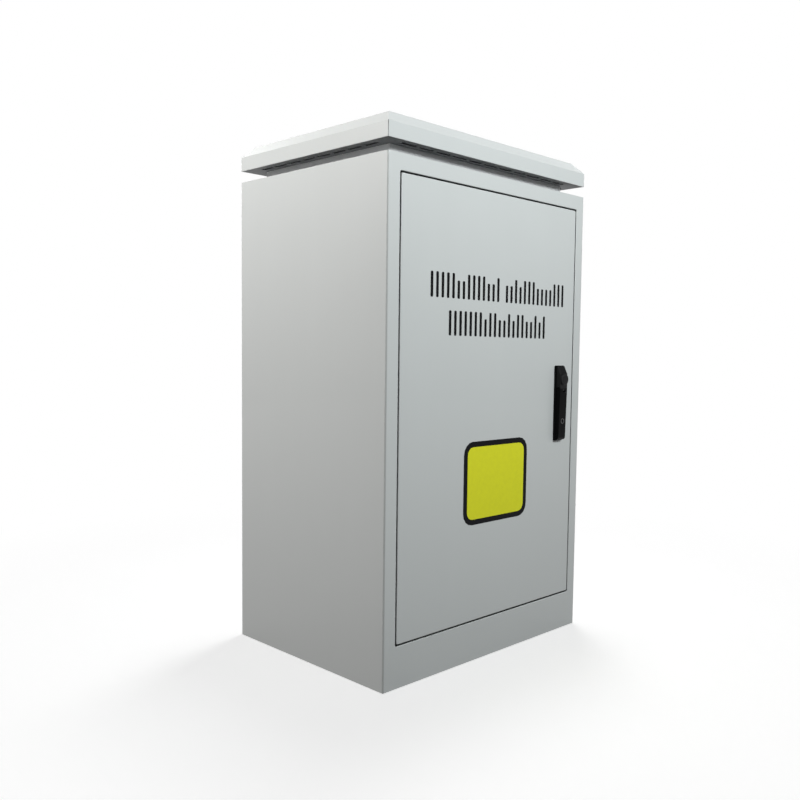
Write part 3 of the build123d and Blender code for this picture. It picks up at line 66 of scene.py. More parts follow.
def add_camera():
    backward = Vector((math.sin(CAMERA_TURN) * math.cos(CAMERA_TILT),
                       -math.cos(CAMERA_TURN) * math.cos(CAMERA_TILT),
                       math.sin(CAMERA_TILT)))
    level = (-backward).cross(Vector((0, 0, 1))).normalized()
    upright = level.cross(-backward)
    right = level * math.cos(CAMERA_ROLL) + upright * math.sin(CAMERA_ROLL)
    up = upright * math.cos(CAMERA_ROLL) - level * math.sin(CAMERA_ROLL)
    data = bpy.data.cameras.new("camera")
    data.sensor_width = SENSOR
    data.lens = LENS
    data.shift_x = SHIFT_X
    data.shift_y = SHIFT_Y
    camera = bpy.data.objects.new("camera", data)
    turn = Matrix((right, up, backward)).transposed().to_4x4()
    camera.matrix_world = Matrix.Translation(CAMERA_AT) @ turn
    scene.collection.objects.link(camera)
    scene.camera = camera


add_camera()
print("camera at", [round(v, 3) for v in CAMERA_AT])

# %% [markdown]
# Materials are sums and products of a few patterns, so they read best as plain arithmetic. The class
# below wraps one output of a node. Adding or multiplying two of them puts a Math node between them,
# and the number on either side can be a bare one.


# %% Shader arithmetic
class Wire:
    """One output of a node. Operators on it add Math nodes."""

    def __init__(self, finish, socket):
        self.finish = finish
        self.socket = socket

    def math(self, operation, *values):
        names = {i: value for i, value in enumerate(values)}
        return self.finish.add("ShaderNodeMath", {"operation": operation}, names)

    def __add__(self, other):
        return self.math("ADD", self, other)

    __radd__ = __add__

    def __mul__(self, other):
        return self.math("MULTIPLY", self, other)

    __rmul__ = __mul__

    def __sub__(self, other):
        return self.math("SUBTRACT", self, other)

    def __rsub__(self, other):
        return self.math("SUBTRACT", other, self)

    def __pow__(self, other):
        return self.math("POWER", self, other)

    def __abs__(self):
        return self.math("ABSOLUTE", self)

    def above(self, level, soft):
        """0 below the level and 1 above it, with a soft step between."""
        values = {"Value": self, "From Min": level - soft, "From Max": level + soft}
        return self.finish.add("ShaderNodeMapRange", {"interpolation_type": "SMOOTHSTEP"}, values)


class Finish:
    """A material under construction, with its Principled shader."""

    def __init__(self, name, color, roughness, metallic=0.0, coat=0.0, specular=0.5):
        self.material = bpy.data.materials.new(name)
        self.material.use_nodes = True
        self.tree = self.material.node_tree
        self.shader = self.tree.nodes["Principled BSDF"]
        self.set("Base Color", (*color, 1.0))
        self.set("Roughness", roughness)
        self.set("Metallic", metallic)
        self.set("Coat Weight", coat)
        self.set("Specular IOR Level", specular)
        coordinates = self.tree.nodes.new("ShaderNodeTexCoord")
        self.place = Wire(self, coordinates.outputs["Object"])

    def plug(self, target, value):
        if isinstance(value, Wire):
            self.tree.links.new(value.socket, target)
        else:
            target.default_value = value

    def set(self, name, value):
        self.plug(self.shader.inputs[name], value)

    def add(self, kind, settings, values, output=0):
        """Adds a node, applies its settings, then fills its sockets."""
        node = self.tree.nodes.new(kind)
        for name, value in settings.items():
            setattr(node, name, value)
        for name, value in values.items():
            self.plug(node.inputs[name], value)
        return Wire(self, node.outputs[output])

    def axis(self, name):
        """One coordinate of the place on the object, in metres."""
        return self.add("ShaderNodeSeparateXYZ", {}, {"Vector": self.place}, output=name)

    def noise(self, size, detail=2.0, stretch=(1, 1, 1)):
        """Soft random pattern whose blobs are about one size wide, in metres."""
        scaled = self.add("ShaderNodeMapping", {}, {"Vector": self.place, "Scale": stretch})
        values = {"Vector": scaled, "Scale": 1.0 / size, "Detail": detail}
        return self.add("ShaderNodeTexNoise", {}, values)

    def cells(self, size):
        """A random grey for each cell; the size of a cell is in metres."""
        values = {"Vector": self.place, "Scale": 1.0 / size}
        spread = self.add("ShaderNodeTexVoronoi", {}, values, output="Color")
        return self.add("ShaderNodeRGBToBW", {}, {"Color": spread})

    def blend(self, mask, first, second):
        """One colour where the mask is 0, the other where it is 1."""
        node = self.tree.nodes.new("ShaderNodeMix")
        node.data_type = "RGBA"
        self.plug(node.inputs["Factor"], mask)
        self.plug(node.inputs["A"], first if isinstance(first, Wire) else (*first, 1.0))
        self.plug(node.inputs["B"], second if isinstance(second, Wire) else (*second, 1.0))
        return Wire(self, node.outputs["Result"])

    def bump(self, height, depth, strength):
        """Raises the surface by the height pattern times the depth in metres."""
        values = {"Height": height, "Distance": depth, "Strength": strength}
        self.set("Normal", self.add("ShaderNodeBump", {}, values))


def shade(color, factor):
    return tuple(min(1.0, channel * factor) for channel in color)


# %% [markdown]
# Cabinets like this are powder coated after folding. Powder flows out into a skin with a faint orange
# peel, a millimetre or two from crest to crest, and the gloss varies a little over a hand's breadth.
# Rain and handling leave soft vertical veils that only show when light grazes the sheet. Three places
# differ. The narrow gap round the door is painted dark on the body and on the door's edge, as painted
# shade of the gap, so the gap reads as a dark line. The body's upright bends get a darker line, painted
# shade of the bend. The canopy's corners are butted and sealed, which leaves a fine dark seam. All
# three are masks worked out from the place on the sheet, mixed into the same coat. The neck is painted
# a paler grey, painted light that lifts it out of the shade under the canopy, and the tray under the
# canopy is painted near black, as painted shade.

# %% Powder coat
BODY_GREY = (0.60, 0.615, 0.61)
# Painted light and shade: the gap, the tray, the bends and the door's edge in the gap get darker
# colours as painted shade, and the neck a paler one as painted light.
GAP_PAINTED_SHADE = (0.07, 0.072, 0.07)
TRAY_PAINTED_SHADE = (0.11, 0.115, 0.12)
NECK_PAINTED_LIGHT = (0.88, 0.88, 0.89)
BEND_PAINTED_SHADE = (0.42, 0.43, 0.425)
DOOR_EDGE_PAINTED_SHADE = (0.30, 0.31, 0.31)
SEAM_GREY = (0.17, 0.175, 0.175)
SKIN = 0.0013
SIDE_MARGIN = 0.012
PEEL_SIZE = 0.0022
PEEL_DEPTH = 0.00006
GRAIN_SIZE = 0.0006
CLOUD_SIZE = 0.16
VEIL_SIZE = 0.05
VEIL_STRETCH = (1.0, 1.0, 0.08)
GAP_SOFT = 0.0004
SIDE_SOFT = 0.001
SEAM_SOFT = 0.0001
BEND_SOFT = 0.0008
body_low, body_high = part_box("cabinet_shell")
lip_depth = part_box("door_gasket")[1].y


def powder_coat(name, color, roughness=0.40, marks=()):
    """A coat of one colour; each mark is a mask and the colour that shows where it is 1."""
    finish = Finish(name, color, roughness, coat=0.12)
    peel = finish.noise(PEEL_SIZE, detail=2.0)
    grain = finish.noise(GRAIN_SIZE, detail=1.0)
    cloud = finish.noise(CLOUD_SIZE, detail=3.0)
    veil = finish.noise(VEIL_SIZE, detail=3.0, stretch=VEIL_STRETCH)
    tone = cloud * 0.55 + veil * 0.45
    paint = finish.blend(tone, shade(color, 0.975), shade(color, 1.02))
    for mark, mark_color in marks:
        paint = finish.blend(mark(finish), paint, mark_color)
    finish.set("Base Color", paint)
    finish.set("Roughness", roughness - 0.05 + tone * 0.08 + grain * 0.04)
    finish.bump(peel * 0.8 + grain * 0.2, PEEL_DEPTH, 0.6)
    return finish.material


def in_the_gap(finish):
    """1 inside the box's outline, between the front skin and the door's lip: where the gap's shade is
    painted.
    """
    depth = finish.axis("Y")
    inside = 1 - abs(finish.axis("X")).above(body_high.x - SIDE_MARGIN, SIDE_SOFT)
    behind_skin = depth.above(body_low.y + SKIN, GAP_SOFT)
    before_lip = 1 - depth.above(lip_depth, GAP_SOFT)
    return behind_skin * before_lip * inside


def on_the_corner(finish):
    """1 on the outermost line of the four upright corners."""
    reach = abs(finish.axis("X")) + abs(finish.axis("Y"))
    return reach.above(body_high.x + body_high.y - SKIN, SEAM_SOFT)


def round_the_corner(finish):
    """1 on the bend itself, where the bend's shade is painted as a darker line."""
    reach = abs(finish.axis("X")) + abs(finish.axis("Y"))
    return reach.above(body_high.x + body_high.y - 2 * SKIN, BEND_SOFT)


grey_coat = powder_coat("grey_powder_coat", BODY_GREY)
# The neck's paler coat is painted light.
neck_coat = powder_coat("neck_coat_painted_light", NECK_PAINTED_LIGHT)
# The shell's marks paint shade into the door gap and onto the upright bends.
shell_coat = powder_coat("shell_powder_coat", BODY_GREY,
                         marks=((in_the_gap, GAP_PAINTED_SHADE), (round_the_corner, BEND_PAINTED_SHADE)))
# The door's mark paints the gap's shade onto its edge.
door_coat = powder_coat("door_powder_coat", BODY_GREY, marks=((in_the_gap, DOOR_EDGE_PAINTED_SHADE),))
canopy_coat = powder_coat("canopy_powder_coat", BODY_GREY, 0.38, ((on_the_corner, SEAM_GREY),))
# The tray's near-black coat is painted shade under the canopy.
tray_coat = powder_coat("tray_painted_shade", TRAY_PAINTED_SHADE, 0.55)
coats = (grey_coat, neck_coat, shell_coat, door_coat, canopy_coat, tray_coat)
print("coats:", [coat.name for coat in coats])

# %% [markdown]
# The metal parts that nobody paints are plated or galvanised. Bright zinc on turned parts is a bluish
# satin with fine drawn lines. Galvanised sheet shows its crystals, flat plates of slightly different
# grey with clear borders, which is a cell pattern with one random grey per cell.

# %% Metals
ZINC = (0.62, 0.64, 0.66)
GALVANISED = (0.55, 0.57, 0.58)
ALUMINIUM = (0.72, 0.73, 0.74)
COPPER = (0.72, 0.38, 0.20)


def plated(name, color, roughness, line_stretch=(1.0, 1.0, 0.05)):
    finish = Finish(name, color, roughness, metallic=1.0)
    lines = finish.noise(0.0012, detail=3.0, stretch=line_stretch)
    stain = finish.noise(0.02, detail=4.0)
    finish.set("Base Color", finish.blend(stain, shade(color, 0.86), shade(color, 1.08)))
    finish.set("Roughness", roughness - 0.06 + lines * 0.10 + stain * 0.05)
    finish.bump(lines, 0.00002, 0.5)
    return finish.material


def galvanised(name, color):
    finish = Finish(name, color, 0.42, metallic=0.9)
    spangle = finish.cells(0.011)
    fine = finish.noise(0.003, detail=3.0)
    finish.set("Base Color", finish.blend(spangle, shade(color, 0.82), shade(color, 1.15)))
    finish.set("Roughness", 0.32 + spangle * 0.16 + fine * 0.06)
    finish.bump(fine, 0.00002, 0.4)
    return finish.material


bright_zinc = plated("bright_zinc", ZINC, 0.30)
zinc_sheet = galvanised("galvanised_sheet", GALVANISED)
anodised = plated("anodised_aluminium", ALUMINIUM, 0.38, line_stretch=(0.04, 1.0, 1.0))
copper = plated("bar_copper", COPPER, 0.32, line_stretch=(0.05, 1.0, 1.0))
print("metals:", [metal.name for metal in (bright_zinc, zinc_sheet, anodised, copper)])

# %% [markdown]
# The handle is a zinc casting with a fine black texture coat, rubbed a little smoother in patches by
# hands and keys. Its crown and cap shine more than the lever, and a shallow groove is turned into the
# cap's face. Moulded plastics get a spark-eroded grain and a slight change of tone, and rubber is
# duller, with a dusty bloom.

# %% Castings, plastics and rubber
COAT_BLACK = (0.002, 0.0022, 0.0025)
DULL_BLACK = (0.0016, 0.0018, 0.002)
RUBBED_BLACK = (0.003, 0.0033, 0.0038)
RUBBER_BLACK = (0.02, 0.02, 0.021)
CLEAN_RUBBER = (0.014, 0.014, 0.015)
DUSTY_RUBBER = (0.038, 0.038, 0.040)
CASTING_DEPTH = 0.0005
CROWN_SHINE = 0.22
GROOVE_INSIDE = 0.0072
GROOVE_OUTSIDE = 0.0090
GROOVE_SOFT = 0.0003


def textured_black(name, ring_at=None, specular=0.06):
    """Black texture coat; ring_at is the x and z of a groove turned into the face."""
    finish = Finish(name, COAT_BLACK, 0.42, specular=specular)
    grain = finish.noise(0.0007, detail=2.0)
    rub = finish.noise(0.018, detail=4.0)
    height = grain * 0.1
    if ring_at:
        across = finish.axis("X") - ring_at[0]
        along = finish.axis("Z") - ring_at[1]
        radius = (across * across + along * along) ** 0.5
        beyond = radius.above(GROOVE_OUTSIDE, GROOVE_SOFT)
        groove = radius.above(GROOVE_INSIDE, GROOVE_SOFT) * (1 - beyond)
        height = height - groove
    finish.set("Base Color", finish.blend(rub, DULL_BLACK, RUBBED_BLACK))
    finish.set("Roughness", 0.33 + rub * 0.16 + grain * 0.06)
    finish.bump(height, CASTING_DEPTH, 0.6)
    return finish.material


def moulded(name, color, roughness=0.45, grain_depth=0.00004):
    finish = Finish(name, color, roughness)
    grain = finish.noise(0.0009, detail=2.0)
    tone = finish.noise(0.03, detail=3.0)
    finish.set("Base Color", finish.blend(tone, shade(color, 0.92), shade(color, 1.05)))
    finish.set("Roughness", roughness - 0.06 + tone * 0.08 + grain * 0.05)
    finish.bump(grain, grain_depth, 0.5)
    return finish.material


def foamed_rubber(name):
    finish = Finish(name, RUBBER_BLACK, 0.85)
    pores = finish.noise(0.0012, detail=3.0)
    bloom = finish.noise(0.04, detail=3.0)
    finish.set("Base Color", finish.blend(bloom, CLEAN_RUBBER, DUSTY_RUBBER))
    finish.set("Roughness", 0.78 + bloom * 0.15)
    finish.bump(pores, 0.0001, 0.7)
    return finish.material


cap_low, cap_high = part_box("lock_cap")
cap_middle = (cap_low + cap_high) / 2
black_casting = textured_black("black_casting")
black_crown = textured_black("black_crown", specular=CROWN_SHINE)
black_cap = textured_black("black_cap", (cap_middle.x, cap_middle.z), CROWN_SHINE)
gland_grey = moulded("gland_grey", (0.34, 0.36, 0.38))
device_white = moulded("device_light_grey", (0.70, 0.70, 0.67))
black_plastic = moulded("black_plastic", (0.018, 0.018, 0.020), 0.42)
terminal_grey = moulded("terminal_grey", (0.26, 0.28, 0.27), 0.5)
duct_grey = moulded("duct_grey", (0.38, 0.40, 0.41), 0.5)
red_resin = moulded("red_resin", (0.36, 0.03, 0.02), 0.35)
opal = moulded("opal_lens", (0.86, 0.86, 0.82), 0.28)
seal_rubber = foamed_rubber("seal_rubber")
print("groove round", [round(v, 4) for v in cap_middle])

# %% [markdown]
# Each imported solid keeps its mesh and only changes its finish. One table of finishes, each with the
# solids that wear it, is easier to check against the real cabinet than a list of assignments.

# %% Dress the solids
WEARS = {
    shell_coat: ["cabinet_shell"],
    door_coat: ["door_panel"],
    grey_coat: ["document_pocket", "door_stiffeners"],
    neck_coat: ["canopy_neck"],
    tray_coat: ["canopy_base"],
    canopy_coat: ["canopy_hood"],
    bright_zinc: ["gland_plate_screws", "canopy_bolts", "hinge_frame_leaves", "hinge_pins",
                  "hinge_door_leaves", "plate_studs", "rack_screws", "fan_screws", "lock_clamp_nut",
                  "lock_screws", "lock_spindle", "spindle_clip", "drive_pinion", "upper_rod",
                  "lower_rod", "lock_gearbox"],
    zinc_sheet: ["gland_plate", "mounting_plate", "rack_posts", "din_rails", "fan_guard"],
    black_casting: ["lock_base", "lock_lever", "lever_pin", "key_cylinder"],
    black_crown: ["lock_head"],
    black_cap: ["lock_cap"],
    seal_rubber: ["door_gasket", "lock_gasket"],
    gland_grey: ["cable_glands"],
    device_white: ["breaker_bodies", "surge_arrester", "service_socket", "thermostat_body",
                   "work_lamp"],
    black_plastic: ["fan_frame", "fan_rotor", "thermostat_knob", "rod_guides", "breaker_toggle_1",
                    "breaker_toggle_2", "breaker_toggle_3"],
    terminal_grey: ["terminal_blocks"],
    duct_grey: ["cable_ducts", "duct_covers"],
    anodised: ["controller_chassis", "power_modules", "logic_modules", "driver_modules",
               "detector_modules"],
    copper: ["earth_bar"],
    red_resin: ["earth_bar_insulators"],
    opal: ["lamp_lens"],
}


def wear(obj, material):
    obj.data.materials.clear()
    obj.data.materials.append(material)


for material, names in WEARS.items():
    for name in names:
        wear(nodes[name], material)
bare = sorted(set(nodes) - {name for names in WEARS.values() for name in names})
print("finishes:", len(WEARS), "solids without one:", bare)

# %% [markdown]
# Small parts that repeat are grown with Geometry Nodes: lines of points, a shape on each, made real at
# the end so that the result is a plain mesh. The two trees below serve the whole cabinet. One sets out
# rounded bars, the other round heads, both in rows and columns that face the door side. A bar is as
# thick as the door's film unless a call says otherwise.

# %% Geometry Nodes helper
FACING = (math.radians(90), 0, 0)
WELD = 0.00001
FILM = 0.00025
CORNER_STEPS = 4
HEAD_SIDES = 20
LOWERED_SHARE = 0.5


class Tree:
    """A Geometry Nodes tree with named inputs."""

    def __init__(self, name):
        self.group = bpy.data.node_groups.new(name, "GeometryNodeTree")
        self.face("Geometry", "NodeSocketGeometry", "OUTPUT")
        self.entry = self.group.nodes.new("NodeGroupInput")
        self.exit = self.group.nodes.new("NodeGroupOutput")

    def face(self, name, kind, way="INPUT"):
        return self.group.interface.new_socket(name, in_out=way, socket_type=kind)

    def input(self, name, kind="NodeSocketFloat"):
        self.face(name, kind)
        return self.entry.outputs[name]

    def plug(self, value, socket):
        if isinstance(value, bpy.types.NodeSocket):
            self.group.links.new(value, socket)
        else:
            socket.default_value = value

    def add(self, kind, settings=None, **values):
        """Adds a node; a socket's name is written with _ for each space."""
        node = self.group.nodes.new(kind)
        for name, value in (settings or {}).items():
            setattr(node, name, value)
        for name, value in values.items():
            self.plug(value, node.inputs[name.replace("_", " ")])
        return node.outputs[0]

    def math(self, operation, first, second):
        node = self.group.nodes.new("ShaderNodeMath")
        node.operation = operation
        self.plug(first, node.inputs[0])
        self.plug(second, node.inputs[1])
        return node.outputs[0]

    def field(self):
        """Points in columns and rows, from the lower left one."""
        start = self.input("Start", "NodeSocketVector")
        columns = self.input("Columns", "NodeSocketInt")
        rows = self.input("Rows", "NodeSocketInt")
        across = self.add("ShaderNodeCombineXYZ", X=self.input("Column Step"))
        upward = self.add("ShaderNodeCombineXYZ", Z=self.input("Row Step"))
        column = self.add("GeometryNodeMeshLine", {"mode": "OFFSET"}, Count=rows, Offset=upward)
        row = self.add("GeometryNodeMeshLine", {"mode": "OFFSET"}, Count=columns, Offset=across,
                       Start_Location=start)
        many = self.add("GeometryNodeInstanceOnPoints", Points=row, Instance=column)
        return self.add("GeometryNodeRealizeInstances", Geometry=many)

    def result(self, geometry):
        real = self.add("GeometryNodeRealizeInstances", Geometry=geometry)
        dressed = self.add("GeometryNodeSetMaterial", Geometry=real,
                           Material=self.input("Finish", "NodeSocketMaterial"))
        self.group.links.new(dressed, self.exit.inputs["Geometry"])
        return self


def bar_tree():
    """Rounded bars, standing on their points; some may be lower than the rest."""
    tree = Tree("rounded_bars")
    points = tree.field()
    width = tree.input("Width")
    height = tree.input("Height")
    lowered = tree.input("Lowered")
    bar = tree.add("GeometryNodeCurvePrimitiveQuadrilateral", Width=width, Height=height)
    rounded = tree.add("GeometryNodeFilletCurve", {"mode": "POLY"}, Curve=bar, Count=CORNER_STEPS,
                       Radius=tree.math("MULTIPLY", width, tree.input("Roundness")))
    sheet = tree.add("GeometryNodeFillCurve", {"mode": "NGONS"}, Curve=rounded)
    raised = tree.add("GeometryNodeExtrudeMesh", Mesh=sheet, Offset_Scale=tree.input("Thickness"))
    joined = tree.group.nodes.new("GeometryNodeJoinGeometry")
    tree.group.links.new(tree.add("GeometryNodeFlipFaces", Mesh=sheet), joined.inputs[0])
    tree.group.links.new(raised, joined.inputs[0])
    solid = tree.add("GeometryNodeMergeByDistance", Geometry=joined.outputs[0], Distance=WELD)
    foot = tree.add("ShaderNodeCombineXYZ", Y=tree.math("MULTIPLY", height, 0.5))
    standing = tree.add("GeometryNodeTransform", Geometry=solid, Translation=foot)
    chance = tree.group.nodes.new("FunctionNodeRandomValue")
    tree.plug(tree.input("Seed", "NodeSocketInt"), chance.inputs["Seed"])
    picked = tree.math("LESS_THAN", chance.outputs[1], LOWERED_SHARE)
    stature = tree.math("SUBTRACT", 1.0, tree.math("MULTIPLY", picked, lowered))
    scale = tree.add("ShaderNodeCombineXYZ", X=1.0, Y=stature, Z=1.0)
    many = tree.add("GeometryNodeInstanceOnPoints", Points=points, Instance=standing,
                    Rotation=FACING, Scale=scale)
    return tree.result(many)


def head_tree():
    """Round heads, such as screws and lamps, seated on their points."""
    tree = Tree("round_heads")
    points = tree.field()
    height = tree.input("Height")
    radius = tree.input("Radius")
    disc = tree.add("GeometryNodeMeshCylinder", Vertices=HEAD_SIDES, Radius=radius, Depth=height)
    seat = tree.add("ShaderNodeCombineXYZ", Z=tree.math("MULTIPLY", height, 0.5))
    seated = tree.add("GeometryNodeTransform", Geometry=disc, Translation=seat)
    return tree.result(tree.add("GeometryNodeInstanceOnPoints", Points=points, Instance=seated,
                                Rotation=FACING))


bars = bar_tree()
heads = head_tree()
print("trees:", bars.group.name, heads.group.name)


def place(name, mesh, body):
    mesh.name = name
    piece = bpy.data.objects.new(name, mesh)
    scene.collection.objects.link(piece)
    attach(piece, body)
    print(name, len(mesh.polygons), "faces")
    return piece


def grow(name, tree, values, body):
    """Runs a tree with these input values and keeps the result as a plain mesh that rides on a body."""
    holder = bpy.data.objects.new(name + "_holder", bpy.data.meshes.new(name + "_holder"))
    scene.collection.objects.link(holder)
    modifier = holder.modifiers.new("grow", "NODES")
    modifier.node_group = tree.group
    for item in tree.group.interface.items_tree:
        if item.in_out == "INPUT" and item.name in values:
            modifier[item.identifier] = values[item.name]
    graph = bpy.context.evaluated_depsgraph_get()
    mesh = bpy.data.meshes.new_from_object(holder.evaluated_get(graph))
    holder.modifiers.remove(modifier)
    bpy.data.objects.remove(holder)
    return place(name, mesh, body)


def bar_field(name, start, size, grid, steps, finish, body, thickness=FILM, roundness=0.35,
              lowered=0.0, seed=0):
    """Bars of one size on a grid of columns and rows; roundness is a share of the width."""
    values = {"Start": start, "Width": size[0], "Height": size[1], "Columns": grid[0], "Rows": grid[1],
              "Column Step": steps[0], "Row Step": steps[1], "Thickness": thickness,
              "Roundness": roundness, "Lowered": lowered, "Seed": seed, "Finish": finish}
    return grow(name, bars, values, body)


def head_field(name, start, radius, height, grid, steps, finish, body):
    values = {"Start": start, "Radius": radius, "Height": height, "Columns": grid[0], "Rows": grid[1],
              "Column Step": steps[0], "Row Step": steps[1], "Finish": finish}
    return grow(name, heads, values, body)


# %% [markdown]
# The upper door carries two rows of black film strokes and the lower door a yellow reflective patch.
# Film is cut with rounded corners and lies a quarter of a millimetre proud. Like every piece added
# here, it starts a hair off its surface, so that no two faces share a plane. The strokes stand on a
# common line, and about half of them are lower than the rest, chosen with a fixed seed.

# %% Film on the door
TOUCH = 0.00002
FILM_AND_SHADE_BLACK = (0.004, 0.004, 0.005)
FILM_YELLOW = (0.80, 0.80, 0.030)
door_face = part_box("door_panel")[0].y


def film(name, color, roughness, specular, sparkle=0.0):
    finish = Finish(name, color, roughness, specular=specular)
    mottle = finish.noise(0.008, detail=3.0)
    beads = finish.cells(0.0012)
    finish.set("Base Color", finish.blend(mottle, shade(color, 0.93), shade(color, 1.04)))
    finish.set("Roughness", roughness - 0.05 + beads * (0.04 + sparkle) + mottle * 0.05)
    finish.bump(beads, 0.00002, 0.3)
    return finish.material


# The black film is print on the door; on screw heads and in the socket it is painted shade of slots and
# holes.
black_film_and_painted_shade = film("black_film_and_painted_shade", FILM_AND_SHADE_BLACK, 0.50, specular=0.08)
yellow_film = film("yellow_film", FILM_YELLOW, 0.42, specular=0.15, sparkle=0.10)

STROKE = (0.0068, 0.048)
STROKE_PITCH = 0.0148
STROKE_LOWERED = 0.28
UPPER_FOOT = 0.727
LOWER_FOOT = 0.656
# Each row has a name, the x of its first stroke, the height of its foot, a count and a seed.
STROKE_ROWS = (("upper_left_strokes", -0.186, UPPER_FOOT, 14, 3),
               ("upper_right_strokes", 0.034, UPPER_FOOT, 14, 8),
               ("lower_strokes", -0.135, LOWER_FOOT, 21, 5))
for name, x, z, count, seed in STROKE_ROWS:
    bar_field(name, (x, door_face - TOUCH, z), STROKE, (count, 1), (STROKE_PITCH, 0.0), black_film_and_painted_shade,
              "door", lowered=STROKE_LOWERED, seed=seed)

# %% Yellow patch
PATCH_CENTRE_X = 0.011
PATCH_FOOT = 0.290
PATCH_SIZE = (0.178, 0.146)
PATCH_ROUNDNESS = 0.09
PATCH_RIM = 0.011
RIM_SIZE = (PATCH_SIZE[0] + 2 * PATCH_RIM, PATCH_SIZE[1] + 2 * PATCH_RIM)
RIM_ROUNDNESS = 0.13
SINGLE = (1, 1)
NO_STEP = (0.0, 0.0)
bar_field("door_patch_rim", (PATCH_CENTRE_X, door_face - TOUCH, PATCH_FOOT - PATCH_RIM), RIM_SIZE,
          SINGLE, NO_STEP, black_film_and_painted_shade, "door", roundness=RIM_ROUNDNESS)
bar_field("door_patch", (PATCH_CENTRE_X, door_face - FILM - 2 * TOUCH, PATCH_FOOT), PATCH_SIZE,
          SINGLE, NO_STEP, yellow_film, "door", roundness=PATCH_ROUNDNESS)

# %% [markdown]
# The lock cylinder sits in a turned ring of satin nickel, the only bright spot on the handle. It is a
# flat ring with sloping edges, drawn as four circles of points that a loop joins into bands.

# %% Key ring
RING_RADII = (0.0046, 0.0048, 0.0055, 0.0057)
RING_PROUD = (0.0000, 0.0006, 0.0006, 0.0000)
RING_STEPS = 32
RING_SEAT = 0.0004
NICKEL = (0.26, 0.26, 0.26)
nickel = plated("satin_nickel", NICKEL, 0.34)


def ring_on_lever():
    key_low, key_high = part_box("key_cylinder")
    middle = (key_low + key_high) / 2
    key_front = key_low.y - RING_SEAT
    key_z = key_low.z + (key_high.x - key_low.x) / 2
    shape = bmesh.new()
    circles = []
    for radius, proud in zip(RING_RADII, RING_PROUD):
        turns = [2 * math.pi * i / RING_STEPS for i in range(RING_STEPS)]
        circles.append([shape.verts.new((middle.x + radius * math.cos(turn), key_front - proud,
                                         key_z + radius * math.sin(turn))) for turn in turns])
    circles.append(circles[0])
    for inner, outer in zip(circles, circles[1:]):
        for i in range(RING_STEPS):
            after = (i + 1) % RING_STEPS
            shape.faces.new((inner[i], inner[after], outer[after], outer[i]))
    bmesh.ops.recalc_face_normals(shape, faces=shape.faces)
    mesh = bpy.data.meshes.new("key_ring")
    shape.to_mesh(mesh)
    shape.free()
    mesh.materials.append(nickel)
    place("key_ring", mesh, "lever")


ring_on_lever()

# %% [markdown]
# Behind the door, each plug-in unit has captive screws. The five lamp drivers also carry red, amber
# and green signal lamps, the two detector units green ones, and the logic unit a display. Screws and
# lamps repeat from unit to unit, so one field of heads covers all units of a kind. The units share the
# card frame's front plane.

# %% Plug-in units
LENS_RADIUS = 0.0022
LENS_PROUD = 0.0016
LENS_DROP = 0.026
LENS_PITCH = 0.014
LENS_ROWS = 6
SCREW_RADIUS = 0.0030
SCREW_PROUD = 0.0022
SCREW_INSET = 0.006
SLOT_SIZE = (0.0007, 0.005)
SLOT_THICKNESS = 0.0001
DISPLAY_SIZE = (0.059, 0.039)
DISPLAY_DROP = 0.0615
DISPLAY_RECESS = 0.00095
DISPLAY_THICKNESS = 0.0006
DISPLAY_ROUNDNESS = 0.02
unit_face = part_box("rack_posts")[0].y - TOUCH
red_lens = moulded("red_lens", (0.45, 0.02, 0.015), 0.22)
amber_lens = moulded("amber_lens", (0.60, 0.24, 0.01), 0.22)
green_lens = moulded("green_lens", (0.02, 0.30, 0.06), 0.22)
display_glass = moulded("display_glass", (0.010, 0.016, 0.013), 0.12, grain_depth=0.0)
UNITS = {"power_modules": 1, "logic_modules": 1, "driver_modules": 5, "detector_modules": 2}


def unit_columns(node):
    """Middle of the first unit of a kind, and the pitch from unit to unit."""
    low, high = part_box(node)
    pitch = (high.x - low.x) / UNITS[node]
    return low.x + pitch / 2, pitch


for node, count in UNITS.items():
    x, pitch = unit_columns(node)
    low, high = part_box(node)
    rise = high.z - low.z - 2 * SCREW_INSET
    head_field(node + "_screws", (x, unit_face, low.z + SCREW_INSET), SCREW_RADIUS, SCREW_PROUD,
               (count, 2), (pitch, rise), bright_zinc, "cabinet")
    # Each slot is a thin black bar on its screw head: painted shade of the slot.
    slot_foot = low.z + SCREW_INSET - SLOT_SIZE[1] / 2
    bar_field(node + "_screw_slots", (x, unit_face - SCREW_PROUD, slot_foot), SLOT_SIZE, (count, 2),
              (pitch, rise), black_film_and_painted_shade, "cabinet", thickness=SLOT_THICKNESS)

unit_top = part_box("driver_modules")[1].z
signal = (green_lens, amber_lens, red_lens)
driver_x, driver_pitch = unit_columns("driver_modules")
for row, finish in enumerate(signal):
    z = unit_top - LENS_DROP - (LENS_ROWS - 1 - row) * LENS_PITCH
    head_field("driver_lamps_" + finish.name, (driver_x, unit_face, z), LENS_RADIUS, LENS_PROUD,
               (UNITS["driver_modules"], LENS_ROWS // len(signal)),
               (driver_pitch, len(signal) * LENS_PITCH), finish, "cabinet")
detector_x, detector_pitch = unit_columns("detector_modules")
lowest_lens = unit_top - LENS_DROP - (LENS_ROWS - 1) * LENS_PITCH
head_field("detector_lamps", (detector_x, unit_face, lowest_lens), LENS_RADIUS, LENS_PROUD,
           (UNITS["detector_modules"], LENS_ROWS), (detector_pitch, LENS_PITCH), green_lens, "cabinet")
display_x = unit_columns("logic_modules")[0]
bar_field("display_window", (display_x, unit_face + DISPLAY_RECESS, unit_top - DISPLAY_DROP),
          DISPLAY_SIZE, SINGLE, NO_STEP, display_glass, "cabinet",
          thickness=DISPLAY_THICKNESS, roundness=DISPLAY_ROUNDNESS)
